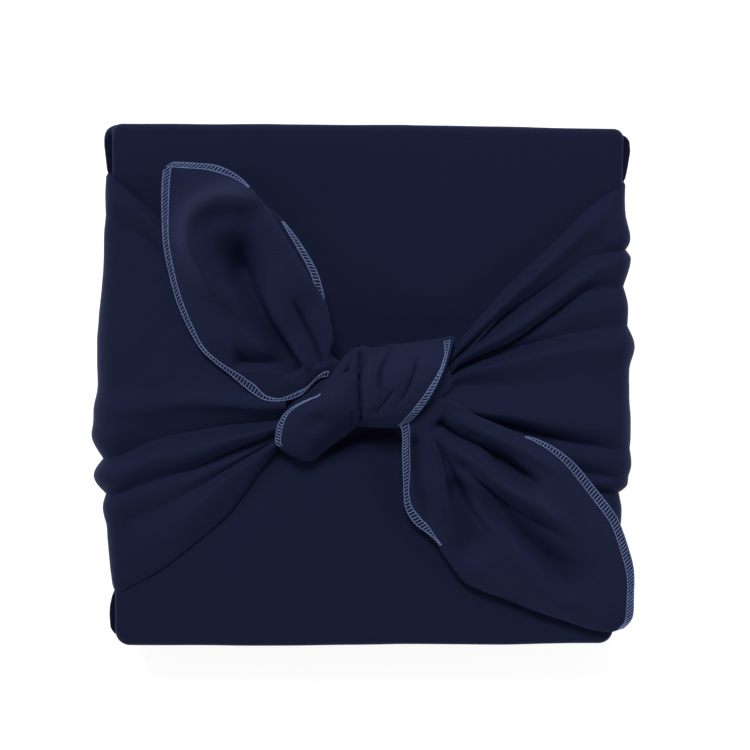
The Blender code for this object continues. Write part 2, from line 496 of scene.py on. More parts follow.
class NodeFinish:
    """A material and the one method that adds nodes to it."""

    def __init__(self, name: str) -> None:
        """Start an empty material with its shader and output.

        Args:
            name: The material's name.
        """
        self.material = bpy.data.materials.new(name)
        self.material.use_nodes = True
        self.tree = self.material.node_tree
        self.tree.nodes.clear()
        output = self.tree.nodes.new("ShaderNodeOutputMaterial")
        self.shader = self.tree.nodes.new("ShaderNodeBsdfPrincipled")
        self.tree.links.new(self.shader.outputs["BSDF"], output.inputs["Surface"])

    def node(self, kind: str, settings: dict[str, Setting],
             sockets: Union[dict[str, object], Sequence[object]]) -> bpy.types.Node:
        """Add a node.

        Args:
            kind: The node's type.
            settings: Its settings, which are set first.
            sockets: Values or links of its sockets, by name or in order.

        Returns:
            The node.
        """
        node = self.tree.nodes.new(kind)
        for key, value in settings.items():
            setattr(node, key, value)
        for key, value in sockets.items() if isinstance(sockets, dict) else enumerate(sockets):
            self.set(node.inputs[key], value)
        return node

    def set(self, socket: Socket, value: object) -> None:
        """Give a socket a value or a link.

        Args:
            socket: The socket to set.
            value: Its value, or the socket or expression to link it from.
        """
        if isinstance(value, Maths):
            value = value.socket
        if isinstance(value, Socket):
            self.tree.links.new(value, socket)
        else:
            socket.default_value = value

    def number(self, node: bpy.types.Node, output: Union[str, int] = 0) -> Maths:
        """A node's output as a value for expressions."""
        return Maths(self, node.outputs[output])

    def weave(self) -> Socket:
        """The piece's own weave map."""
        return self.node("ShaderNodeUVMap", {"uv_map": "weave"}, {}).outputs["UV"]

    def place(self) -> Socket:
        """Object coordinates."""
        return self.node("ShaderNodeTexCoord", {}, {}).outputs["Object"]

    def noise(self, vector: Socket, scale: float, detail: float = 2.0) -> Maths:
        """Noise over a vector, as a value for expressions."""
        sockets = {"Vector": vector, "Scale": scale, "Detail": detail}
        return self.number(self.node("ShaderNodeTexNoise", {}, sockets))

    def two_tone(self, tone: Maths, dark: Colour, light: Colour) -> None:
        """Colour the shader between two tones.

        Args:
            tone: From 0 for the dark colour to 1 for the light one.
            dark: The dark colour.
            light: The light colour.
        """
        settings = {"data_type": "RGBA", "clamp_factor": True}
        mix = self.node("ShaderNodeMix", settings, {"Factor": tone, "A": (*dark, 1.0), "B": (*light, 1.0)})
        self.feed("Base Color", next(out for out in mix.outputs if out.type == "RGBA"))

    def relief(self, height: Maths, strength: float, distance: float) -> None:
        """Give the shader fine relief: a height of 1 stands for the distance, in metres."""
        sockets = {"Strength": strength, "Distance": distance, "Height": height}
        self.feed("Normal", self.node("ShaderNodeBump", {}, sockets).outputs["Normal"])

    def feed(self, socket: str, value: object) -> None:
        """Set or link one of the shader's sockets."""
        self.set(self.shader.inputs[socket], value)


@dataclass(frozen=True)
class CottonTwill:
    """Navy cotton with fine ribs, a soft bloom and slightly uneven dye."""

    name: str = "navy cotton twill"
    dark: Colour = (0.0065, 0.0079, 0.0193)
    light: Colour = (0.0074, 0.0090, 0.0219)
    rib_pitch: float = 0.0009
    yarn_pitch: float = 0.00055
    roughness: float = 0.62
    specular: float = 0.08
    specular_tint: Colour = (0.12, 0.22, 0.95)
    sheen: float = 0.08
    sheen_tint: Colour = (0.22, 0.32, 1.0)
    sheen_roughness: float = 0.5
    grain: float = 0.10
    dye: float = 0.75
    fleck: float = 0.35
    darkening: float = 0.05
    relief: float = 0.35
    relief_depth: float = 0.00018
    dye_scale: float = 26.0
    fleck_scale: float = 1600.0
    wobble_scale: float = 420.0
    rib_wobble: float = 2.2
    yarn_wobble: float = 1.8

    def material(self) -> bpy.types.Material:
        """Build the material, on the piece's weave map and object coordinates.

        Returns:
            The material.
        """
        finish = NodeFinish(self.name)
        weave = finish.weave()
        parts = finish.node("ShaderNodeSeparateXYZ", {}, {"Vector": weave})
        wobble = finish.noise(weave, self.wobble_scale)
        along, across = (finish.number(parts, axis) for axis in "YX")
        ribs = (along * (TURN / self.rib_pitch) + wobble * self.rib_wobble).sine()
        yarns = (across * (TURN / self.yarn_pitch) + wobble * self.yarn_wobble).sine()
        cloth = ribs * 0.6 + yarns * 0.4
        dye = finish.noise(finish.place(), self.dye_scale, 3.0)
        fleck = finish.noise(weave, self.fleck_scale)
        tone = dye * self.dye + fleck * self.fleck + cloth * self.grain - self.darkening
        finish.two_tone(tone, self.dark, self.light)
        finish.relief(cloth * 0.5 + fleck * 0.5, self.relief, self.relief_depth)
        finish.feed("Roughness", self.roughness)
        finish.feed("Specular IOR Level", self.specular)
        finish.feed("Specular Tint", (*self.specular_tint, 1.0))
        finish.feed("Sheen Weight", self.sheen)
        finish.feed("Sheen Roughness", self.sheen_roughness)
        finish.feed("Sheen Tint", (*self.sheen_tint, 1.0))
        return finish.material


@dataclass(frozen=True)
class OverlockThread:
    """Pale blue overlock thread with a twisted ply."""

    name: str = "pale blue thread"
    dark: Colour = (0.060, 0.089, 0.198)
    light: Colour = (0.146, 0.195, 0.352)
    ply_pitch: float = 0.0005
    ply: float = 0.2
    shade: float = 0.9
    shade_scale: float = 160.0
    relief: float = 0.5
    relief_depth: float = 0.00006
    roughness: float = 0.75
    specular: float = 0.15

    def material(self) -> bpy.types.Material:
        """Build the material, on the thread's weave map and object coordinates.

        Returns:
            The material.
        """
        finish = NodeFinish(self.name)
        parts = finish.node("ShaderNodeSeparateXYZ", {}, {"Vector": finish.weave()})
        twist = finish.number(parts, "X") * (TURN / self.ply_pitch)
        ply = (twist + finish.number(parts, "Y") * TURN).sine()
        shade = finish.noise(finish.place(), self.shade_scale)
        finish.two_tone(ply * self.ply + shade * self.shade, self.dark, self.light)
        finish.relief(ply, self.relief, self.relief_depth)
        finish.feed("Roughness", self.roughness)
        finish.feed("Specular IOR Level", self.specular)
        return finish.material


@dataclass(frozen=True)
class PaleFloor:
    """Pale studio floor that keeps shadows faint."""

    name: str = "pale floor"
    colour: Colour = (0.34, 0.34, 0.34)
    glow: float = 0.80
    roughness: float = 0.72
    roughness_spread: float = 0.06
    grain_scale: float = 40.0
    specular: float = 0.1

    def material(self) -> bpy.types.Material:
        """Build the material, slightly lit from within as a light table is.

        Returns:
            The material.
        """
        finish = NodeFinish(self.name)
        grain = finish.noise(finish.place(), self.grain_scale)
        finish.feed("Roughness", grain * self.roughness_spread + self.roughness)
        finish.feed("Base Color", (*self.colour, 1.0))
        finish.feed("Specular IOR Level", self.specular)
        finish.feed("Emission Color", (1.0, 1.0, 1.0, 1.0))
        finish.feed("Emission Strength", self.glow)
        return finish.material


# Parcel


@dataclass(frozen=True)
class CornerLobe:
    """How far a corner's folded lobe stands out of the side wall, in mm, by distance along Y."""

    side_x: int
    side_y: int
    reaches: tuple[float, ...]
    proud: tuple[float, ...]


CORNER_LOBES = (
    CornerLobe(-1, 1, (86, 93.6, 97.5, 103.8, 108.3, 113), (0, 2.7, 3.1, 3.8, 3.8, 3.6)),
    CornerLobe(1, 1, (84, 90.3, 96.4, 102.5, 107, 110, 113), (0, 1.3, 2.5, 3.4, 2.9, 1.0, 0)),
    CornerLobe(-1, -1, (84, 90.8, 97, 100.8, 106.2, 109.7, 113), (0, 1.2, 2.7, 2.9, 2.6, 1.5, 0)),
    CornerLobe(1, -1, (90, 97, 104, 110, 113), (0, 1.2, 1.2, 0.6, 0)),
)
# Down a lobe: how much of its reach shows, and how high its cloth runs with and without a lip.
LOBE_SHARES = (0, 0.06, 0.12, 0.17, 0.22, 0.27, 0.32, 0.38, 0.44, 0.52, 0.75, 1.0)
LOBE_RUN = (0, 0.02, 0.1, 0.22, 0.4, 0.6, 0.8, 0.94, 1.0, 0.94, 0.74, 0.16)
LOBE_LIPPED = (39, 37.4, 36.2, 36.4, 37.6, 38.6, 38.9, 38.2, 36.6, 33, 20, 2.5)
LOBE_EVEN = (39, 38.8, 38.6, 38.3, 38.0, 37.6, 37.0, 36.0, 34.4, 31, 20, 2.5)
# The lip's gap lies between these distances along Y, and fades over these lengths, in mm.
LOBE_GAP = (86.0, 110.0)
LOBE_FADE = (6.0, 4.0)
# How far the lid's swell reaches from its middle along X and Y, in mm.
LID_REACH = (109.0, 111.0)


def across_lid(place: Array, axis: int) -> Array:
    """A swell from 1 in the middle of the lid to 0 at its edges, along X (0) or Y (1)."""
    return np.cos(np.clip(place / LID_REACH[axis], -1, 1) * math.pi / 2)


@dataclass(frozen=True)
class Parcel:
    """The box in its smooth cloth, with a lobe tucked in at each corner.

    Its sizes are in metres, and the swells and folds of its cloth in mm.
    """

    width: float = 0.218
    length: float = 0.226
    height: float = 0.042
    edge: float = 0.003
    upper_corner: float = 0.0045
    lower_corner: float = 0.0065
    foot: float = 0.0025
    side_points: int = 120
    arc_points: int = 12
    lid_rings: int = 76
    edge_rings: int = 8
    wall_rings: int = 46
    least_corner: float = 0.0015
    crowding: float = 0.08
    puff: float = 0.9
    puff_power: float = 0.7
    unevenness: float = 0.16
    swell: float = 46.0
    wall_fold: float = 0.55
    wall_fold_size: float = 17.0
    belly: float = 0.5
    belly_height: float = 22.0
    belly_spread: float = 14.0
    edge_spread: float = 0.01
    under_spread: float = 1.4

    @property
    def flat_width(self) -> float:
        """Half the lid's width up to its rounded edge."""
        return self.width / 2 - self.edge

    def over(self, side: int, run: Array, y: Array, off: Array) -> Array:
        """Points that stand off from the lid and from a side wall.

        Args:
            side: +1 or -1 along X.
            run: Distance from the middle, flat over the lid and on down the wall.
            y: Places along Y.
            off: How far the points stand off.

        Returns:
            The points.
        """
        past = run - self.flat_width
        angle = np.clip(past / self.edge, 0, math.pi / 2)
        drop = np.maximum(past - self.edge * math.pi / 2, 0)
        x = np.minimum(run, self.flat_width) + (self.edge + off) * np.sin(angle)
        z = self.height - self.edge + (self.edge + off) * np.cos(angle) - drop
        return np.stack((side * x, y, z), axis=-1)

    def outline(self, inset: float) -> Array:
        """Rounded outline seen from above.

        Args:
            inset: How far inside the parcel's own outline.

        Returns:
            Points in order, anticlockwise.
        """
        half_x = self.width / 2 - inset
        half_y = self.length / 2 - inset
        upper = max(self.upper_corner - inset, self.least_corner)
        lower = max(self.lower_corner - inset, self.least_corner)
        arcs: list[Array] = []
        for number, (sign_x, sign_y, radius) in enumerate(
                ((1, 1, upper), (-1, 1, upper), (-1, -1, lower), (1, -1, lower))):
            centre = np.array((sign_x * (half_x - radius), sign_y * (half_y - radius)))
            angles = math.pi / 2 * (number + np.linspace(0, 1, self.arc_points))
            arcs.append(centre + radius * np.stack((np.cos(angles), np.sin(angles)), axis=-1))
        shares = np.linspace(0, 1, self.side_points + 1)[1:-1, None]
        shares = shares - self.crowding * np.sin(TURN * shares)
        sides = [arc[-1] * (1 - shares) + after[0] * shares
                 for arc, after in zip(arcs, arcs[1:] + arcs[:1])]
        outline = np.concatenate([points for pair in zip(arcs, sides) for points in pair])
        x, y = (outline / MM).T
        # Both ends of the lid bow a little, in mm, and the lower left corner draws in.
        upper_bow = 0.1 - 1.1 * ease((x - 15) / 95)
        lower_bow = 1.1 * (1 - ease((x + 40) / 60)) - 0.9 * ease((x - 60) / 40)
        outline[:, 1] += np.where(y > 0, upper_bow, -lower_bow) * (np.abs(y) / 113) ** 4 * MM
        outline[:, 0] -= 1.3 * ease((-y - 78) / 14) * ease(-x / LID_REACH[0]) * MM
        return outline

    def lid_rise(self, x: Array, y: Array) -> Array:
        """Height of the cloth over the flat lid, in mm: below 0 where the knot presses it down."""
        puffed = self.puff * (across_lid(x, 0) * across_lid(y, 1)) ** self.puff_power
        return puffed + pressed(LID_CREASES, x, y) + self.unevenness * unevenness(x, y, self.swell)

    def wall_swell(self, points: Array) -> Array:
        """Faint folds of the cloth on the two end walls.

        Args:
            points: Places on the parcel, in metres.

        Returns:
            How far the cloth stands out at each place, in mm.
        """
        x, y, z = (points[..., axis] / MM for axis in range(3))
        folds = self.wall_fold * unevenness(x + 0.4 * z, z + 70 * np.sign(y), self.wall_fold_size)
        height = (z - self.belly_height) / self.belly_spread
        folds += self.belly * np.exp(-(height**2)) * across_lid(x, 0)
        return folds * ease((np.abs(y) - 109.0) / 2.0) * ease(z / 6) * ease((42 - z) / 8)

    def lobes(self, points: Array) -> Array:
        """Push out the folded lobe at each corner, with a gap behind its lip.

        Args:
            points: Rows by columns by 3 points, of which the side walls' are moved.

        Returns:
            The points with the lobes.
        """
        x, y, z = (points[..., axis] / MM for axis in range(3))
        top = (self.height - self.edge) / MM
        share = np.clip((top - z) / (top - self.foot / MM), 0, 1)
        reach = np.abs(y)
        radius = np.where(y > 0, self.upper_corner, self.lower_corner) / MM
        turn = np.clip(1 - (self.width / 2 / MM - np.abs(x)) / radius, 0, 1) ** 0.6
        proud = turn * sum(np.where((x * lobe.side_x > 0) & (y * lobe.side_y > 0),
                                    np.interp(reach, lobe.reaches, lobe.proud), 0.0)
                           for lobe in CORNER_LOBES)
        on_wall = (z < top + 0.01) & (z > 0.3)
        weight = np.clip(proud / 1.5, 0, 1)
        gap = ease((LOBE_GAP[1] - reach) / LOBE_FADE[1]) * ease((reach - LOBE_GAP[0]) / LOBE_FADE[0])
        run, lipped, level = (np.interp(share, LOBE_SHARES, line)
                              for line in (LOBE_RUN, LOBE_LIPPED, LOBE_EVEN))
        level = level + gap * (lipped - level)
        moved = points.copy()
        moved[..., 0] += np.where(on_wall, np.sign(x) * proud * run, 0.0) * MM
        moved[..., 2] += np.where(on_wall, weight * (level - z), 0.0) * MM
        rise = np.clip((z - top) / (self.edge / MM), 0, 1)
        square = (1 - (1 - rise**2) ** 3) - rise
        moved[..., 2] += np.where(~on_wall & (z >= top), weight * gap * square * self.edge, 0.0)
        return moved

    def rings(self) -> tuple[Array, Array]:
        """Rings of points from the middle of the lid, down the walls and under.

        Returns:
            The points and their weave coordinates.
        """
        inner = self.outline(self.edge)
        rim = self.outline(0.0)
        rings: list[tuple[Array, float, float]] = []
        for share in np.linspace(0, 1, self.lid_rings + 1)[1:]:
            rings.append((inner * share, self.height, 1.0))
        for angle in np.linspace(0, math.pi / 2, self.edge_rings + 1)[1:]:
            flat = self.outline(self.edge * (1 - math.sin(angle)))
            z = self.height - self.edge * (1 - math.cos(angle))
            rings.append((flat, z, 1 + angle * self.edge_spread))
        for z in np.linspace(self.height - self.edge, self.foot, self.wall_rings + 1)[1:]:
            rings.append((rim, z, 1 + (self.height - z) / (self.width / 2)))
        for angle in np.linspace(0, math.pi / 2, self.edge_rings)[1:]:
            flat = self.outline(self.foot * (1 - math.cos(angle)))
            z = self.foot * (1 - math.sin(angle))
            rings.append((flat, z, self.under_spread + angle * self.edge_spread))
        points = np.stack([np.column_stack((flat, np.full(len(flat), z))) for flat, z, _ in rings])
        return points, np.stack([flat * spread for flat, _, spread in rings])

    def build(self) -> Piece:
        """Make the parcel's closed mesh.

        Returns:
            The object.
        """
        points, weave = self.rings()
        normals = upward_normals(points, closed=True)
        flat = normals[..., 2]
        lid = (np.arange(len(points)) < self.lid_rings + self.edge_rings)[:, None]
        rise = self.lid_rise(points[..., 0] / MM, points[..., 1] / MM)
        points[..., 2] += np.where(lid, rise * np.clip(flat, 0, 1), 0.0) * MM
        sideways = np.where(np.abs(flat) < 0.9, self.wall_swell(points), 0.0)
        points = self.lobes(points + normals * (1, 1, 0) * sideways[..., None] * MM)
        shell = Shell()
        numbers = shell.place(points, weave)
        shell.skin(numbers, closed=True, flip=True)
        top = (0.0, 0.0, self.height + self.lid_rise(np.zeros(1), np.zeros(1))[0] * MM)
        shell.fan(numbers[0], np.array(top), np.zeros(2), flip=False)
        under = points[-1].mean(axis=0) * (1, 1, 0)
        shell.fan(numbers[-1], under, np.zeros(2), flip=True)
        return shell.build("parcel_cloth")


PARCEL = Parcel()

# Where the knot and the wings press on the lid.
LID_CREASES = (
    Crease(((28, 16), (45, 30), (60, 46), (80, 65), (95, 80), (106, 89)), 1.3, 13, 9, 0.05, 0.1),
    Crease(((-26, 6), (-45, 25), (-60, 41), (-75, 58), (-90, 75), (-106, 88)), 1.3, 9, 13, 0.05, 0.1),
    Crease(((-30, 14), (-6, 20), (14, 22), (44, 22)), 2.4, 15, 13, 0.4, 0.4),
    Crease(((-40, -22), (-20, -26), (-4, -17), (20, -19)), 1.2, 16, 16, 0.3, 0.3),
    Crease(((-34, -27), (-50, -46), (-70, -66)), 0.8, 6, 8, 0.05, 0.4),
    Crease(((-30, -30), (-18, -26), (-6, -20.5), (4, -18.2), (12, -18.2), (18, -20)),
           3.2, 3.2, 3.0, 0.2, 0.15),
)


# Wings


@dataclass(frozen=True)
class Fold:
    """One fold line of a wing, in mm: its Y and its rise at each of the wing's stations."""

    y: tuple[float, ...]
    rise: tuple[float, ...]
    crease: bool = False


@dataclass(frozen=True)
class Wing:
    """A gathered side of the cloth, from the knot over the lid's edge to the foot, in mm.

    The flat size and the area are in metres.
    """

    name: str
    side: int
    stations: tuple[float, ...]
    folds: tuple[Fold, ...]
    flat: tuple[float, float]
    area: float
    wall_fan: float = 0.45
    foot: float = 1.2
    lid_rows: int = 92
    edge_rows: int = 9
    wall_rows: int = 26
    spacing: float = 0.85
    spaced_at: int = 3
    least_columns: int = 7
    unevenness: float = 0.22
    swell: float = 8.0
    swell_shift: float = 31.0
    crease_slope: float = 1.3
    least: float = 0.55
    fan_loss: float = 0.35
    wall_loss: float = 0.62
    turn_share: float = 0.42
    turn_limits: tuple[float, float] = (0.35, 2.0)
    turn_angle: float = 176.0
    tuck_columns: int = 2
    tuck_step: float = 2.2
    weave_step: float = 0.8

    def columns(self) -> Array:
        """Positions between the folds, closer together where the folds are.

        Returns:
            Positions counted in folds from 0.
        """
        spots: list[Array] = []
        for number, (fold, after) in enumerate(zip(self.folds, self.folds[1:])):
            reach = abs(fold.y[self.spaced_at] - after.y[self.spaced_at])
            count = max(self.least_columns, math.ceil(reach / self.spacing))
            spots.append(number + np.arange(count) / count)
        return np.append(np.concatenate(spots), len(self.folds) - 1)

    def surface(self, parcel: Parcel) -> tuple[Array, Array]:
        """Middle of the cloth.

        Args:
            parcel: The parcel that the wing lies over.

        Returns:
            The points and their weave coordinates.
        """
        corner = parcel.flat_width / MM
        arc = parcel.edge / MM * math.pi / 2
        wall = parcel.height / MM - parcel.edge / MM - self.foot
        over_lid = np.linspace(self.stations[0], corner, self.lid_rows)
        over_edge = corner + np.linspace(0, arc, self.edge_rows + 1)[1:]
        down = corner + arc + np.linspace(0, wall, self.wall_rows + 1)[1:]
        runs = np.concatenate((over_lid, over_edge, down))
        y = follow(self.stations, np.array([fold.y for fold in self.folds]), runs)
        rise = follow(self.stations, np.array([fold.rise for fold in self.folds]), runs)
        fall = np.maximum(runs - self.stations[-1], 0)[:, None]
        slant = np.array([fold.y[-1] - fold.y[-2] for fold in self.folds])
        slant = slant / (self.stations[-1] - self.stations[-2])
        share = fall / fall.max()
        y = y + self.wall_fan * slant * fall * (1 - self.fan_loss * share)
        rise = rise * (1 - self.wall_loss * share**2)
        spots = self.columns()
        index = np.minimum(spots.astype(int), len(self.folds) - 2)
        part = spots - index
        step = y[:, index + 1] - y[:, index]
        slopes = resting_slopes(-y, rise)
        secants = (np.diff(rise, axis=1) / np.diff(-y, axis=1))[:, index] * self.crease_slope
        sharp = np.array([fold.crease for fold in self.folds])
        leave = np.where(sharp[index], secants, slopes[:, index])
        arrive = np.where(sharp[index + 1], secants, slopes[:, index + 1])
        lines = y[:, index] + step * part
        height = hermite(rise[:, index], rise[:, index + 1], leave * -step, arrive * -step, part)
        run_grid = np.broadcast_to(runs[:, None], lines.shape)
        swells = unevenness(run_grid + self.swell_shift, lines, self.swell)
        height = height + self.unevenness * swells
        height = np.maximum(height, self.least)
        points = parcel.over(self.side, run_grid * MM, lines * MM, height * MM)
        weave = np.stack((self.side * run_grid * MM, lines * MM), axis=-1)
        return self.curl(points, weave, height)

    def curl(self, points: Array, weave: Array,
             height: Array) -> tuple[Array, Array]:
        """Turn both borders under, as the cloth's fold does.

        Args:
            points: The middle of the cloth.
            weave: Its weave coordinates.
            height: Its height over the parcel, in mm.

        Returns:
            The points and weave coordinates with the turned borders added.
        """
        normals = upward_normals(points)
        steps = np.arange(1, TURN_COLUMNS + 1) * self.weave_step * MM
        for at_end, border, inside in ((False, 0, 3), (True, -1, -4)):
            edge = points[:, border]
            up = normals[:, border]
            inner = points[:, inside]
            out = unit(edge - inner)
            out = unit(out - up * (out * up).sum(axis=1, keepdims=True))
            radius = np.clip(height[:, border] * self.turn_share, *self.turn_limits)[:, None] * MM
            extra, _ = turned_border(edge, out, up, radius, self.tuck_step * MM,
                                     TURN_COLUMNS - self.tuck_columns, self.turn_angle)
            threads = np.repeat(weave[:, border][:, None], TURN_COLUMNS, axis=1)
            threads[..., 1] += steps if edge[0, 1] > inner[0, 1] else -steps
            points = attached(points, extra, at_end)
            weave = attached(weave, threads, at_end)
        return points, weave

    def build(self, parcel: Parcel) -> Piece:
        """Make the wing's cloth.

        Args:
            parcel: The parcel that the wing lies over.

        Returns:
            The object.
        """
        points, weave = self.surface(parcel)
        if self.side < 0:
            points, weave = points[:, ::-1], weave[:, ::-1]
        return sheet_piece(self.name, points, weave)


RIGHT_WING = Wing(
    "right_wing",
    1,
    (31, 45, 60, 80, 95, 109),
    (
        Fold((11, 27.5, 44.2, 63.3, 78.2, 87.7), (9, 6.6, 4.2, 2.1, 1.7, 0.8)),
        Fold((10, 25, 39.5, 57, 70.5, 77), (12, 11, 9, 5.7, 4.5, 1.2)),
        Fold((9.4, 22.8, 36, 52, 63.5, 65), (11, 8.6, 6.5, 3.4, 2.7, 3.3)),
        Fold((8.8, 20.4, 32.5, 47, 57.5, 60.5), (9.4, 5.6, 2.4, 1.6, 1.4, 1.5), True),
        Fold((7.6, 17.5, 25.5, 39.5, 50, 56.5), (12, 12.1, 11.2, 8.6, 6.5, 4)),
        Fold((6, 13.8, 20, 34, 44, 45), (5, 2.2, 1, 1.1, 1.2, 0.9), True),
        Fold((5.6, 12.9, 18.8, 28, 34.5, 35.5), (6.5, 4.4, 2.7, 3, 3.4, 3.1)),
        Fold((5.2, 12, 17.6, 23, 26, 28), (6, 2.7, 1.5, 1.6, 1.5, 3.2), True),
        Fold((4, 9.5, 12.5, 16.5, 18.5, 19), (13, 12.1, 10.6, 8.5, 6.8, 6.4)),
        Fold((1, 3.4, 3.4, 6, 8, 9), (10.5, 9.2, 8.2, 7, 5.5, 4.2)),
        Fold((-1.5, -2, -3, -3, -3, -2), (12, 11, 9.8, 8.1, 6.2, 4.6)),
        Fold((-4, -7.5, -9.5, -13, -15, -17), (13, 12.1, 11.2, 9.6, 8.2, 5.5)),
        Fold((-6.5, -11, -14, -20, -23, -25), (4, 1.9, 1, 1.2, 1.7, 5.2), True),
        Fold((-8, -15, -20, -27, -30, -32), (6, 4.4, 3.4, 3.4, 4.2, 6.1)),
        Fold((-9, -18, -24, -32, -35.5, -37), (5, 2.5, 1.9, 1.6, 1.6, 5), True),
        Fold((-10, -20, -28, -36, -39, -40.5), (6, 4.4, 3.4, 3.4, 4.2, 4.7)),
        Fold((-11, -23, -32, -41, -43.5, -44.5), (5, 2.5, 1.7, 1.4, 1.1, 0.9), True),
        Fold((-12.5, -28, -40, -51, -54, -53), (6, 4.4, 3.4, 3, 2.7, 2.3)),
        Fold((-13.5, -32, -47, -62, -68, -70), (4, 2.1, 1.5, 1.3, 1.1, 0.8), True),
        Fold((-14.5, -35, -51, -69, -78, -81), (5, 3.2, 2.7, 2.3, 2.1, 1.3)),
        Fold((-15.4, -37, -54, -73, -83, -87), (3, 2.1, 1.6, 1.4, 1.2, 0.7)),
    ),
    flat=(0.17, 0.16),
    area=0.021,
)

LEFT_WING = Wing(
    "left_wing",
    -1,
    (34, 45, 60, 75, 90, 109),
    (
        Fold((10.7, 23, 39.7, 56.5, 73.2, 90), (7, 5.1, 3.4, 2.3, 1.9, 2.2)),
        Fold((9, 20, 35.5, 51.5, 68.5, 82), (8, 6.6, 5.5, 4.9, 4.5, 3)),
        Fold((8, 18, 31.5, 46, 61, 74), (7, 3.9, 2.9, 2.3, 1.8, 2.8), True),
        Fold((6.5, 14.5, 26, 38, 48, 55), (8, 6.6, 5.5, 5.5, 5, 4)),
        Fold((5, 12, 21, 31, 38, 42), (8.6, 7, 6, 6, 5.8, 4.9)),
        Fold((2, 5, 9, 14, 17, 19), (9, 7.7, 7.2, 7, 6.5, 7.2)),
        Fold((-2, -1, 0.5, 2, 2, 2), (9.6, 8.6, 8, 7.3, 6.5, 7.1)),
        Fold((-6, -6.5, -5, -4.5, -7, -9), (10.5, 10.1, 9.8, 8.6, 7.5, 9)),
        Fold((-9.6, -10.4, -9, -9, -12, -14), (6.2, 5.2, 6, 5.8, 5.2, 9.2)),
        Fold((-11, -12.2, -12, -13, -15.5, -20), (5, 3.9, 3.9, 3.9, 3.8, 10)),
        Fold((-12.6, -14, -15.5, -18.5, -22, -30.5), (3.6, 2, 1.6, 1.5, 1.6, 5.2), True),
        Fold((-14, -17.5, -21.5, -26.5, -30, -38), (10, 9.9, 10, 9.1, 8, 9.4)),
        Fold((-16.6, -21.5, -27.5, -34.5, -39, -46), (3, 1.5, 1, 1.2, 1.7, 4.2), True),
        Fold((-17.6, -24, -32, -39, -45, -52), (4.4, 3.8, 3.5, 3.4, 3.3, 5.6)),
        Fold((-18.2, -25.5, -34.5, -44, -52, -59.5), (4, 2.5, 1.9, 1.8, 1.8, 4.2), True),
        Fold((-19.2, -27.5, -39, -53, -66, -75), (7.5, 6.6, 6, 5.2, 3.6, 3.2)),
        Fold((-20, -31.5, -49, -63, -75.5, -86), (5.4, 4.4, 3.4, 2.8, 2.1, 1.9)),
        Fold((-20.6, -33.6, -53.8, -67.3, -79, -90), (3, 1.9, 1.3, 1.3, 1.1, 0.6)),
    ),
    flat=(0.17, 0.16),
    area=0.021,
)


# Draped cloth

# A flat border's turn in mm, and how a turned border is made: its whole turn in degrees, its
# columns past the turn, and the cloth tucked under for each mm of radius, with its limits in mm.
FLAT_TURN = 0.3
BORDER_TURN = 170
TUCK_COLUMNS = 3
TUCK_RATE = 4.5
TUCK_LIMITS = (0.2, 7.0)


@dataclass(frozen=True)
class Stop:
    """A line across draped cloth, in mm, from its left border to its right one.

    Each border is X, Y and rise over the lid. The crown is added half way between them, and
    a turn is the radius that a border is folded under with.
    """

    left: tuple[float, float, float]
    right: tuple[float, float, float]
    crown: float = 1.0
    left_turn: float = FLAT_TURN
    right_turn: float = FLAT_TURN

    def numbers(self) -> tuple[float, ...]:
        """The stop as a row of numbers."""
        return (*self.left, *self.right, self.crown, self.left_turn, self.right_turn)


@dataclass(frozen=True)
class Hem:
    """Overlocked border of a draped piece."""

    right: bool
    start: float
    end: float
    widths: tuple[float, ...] = (3.4, 3.4)


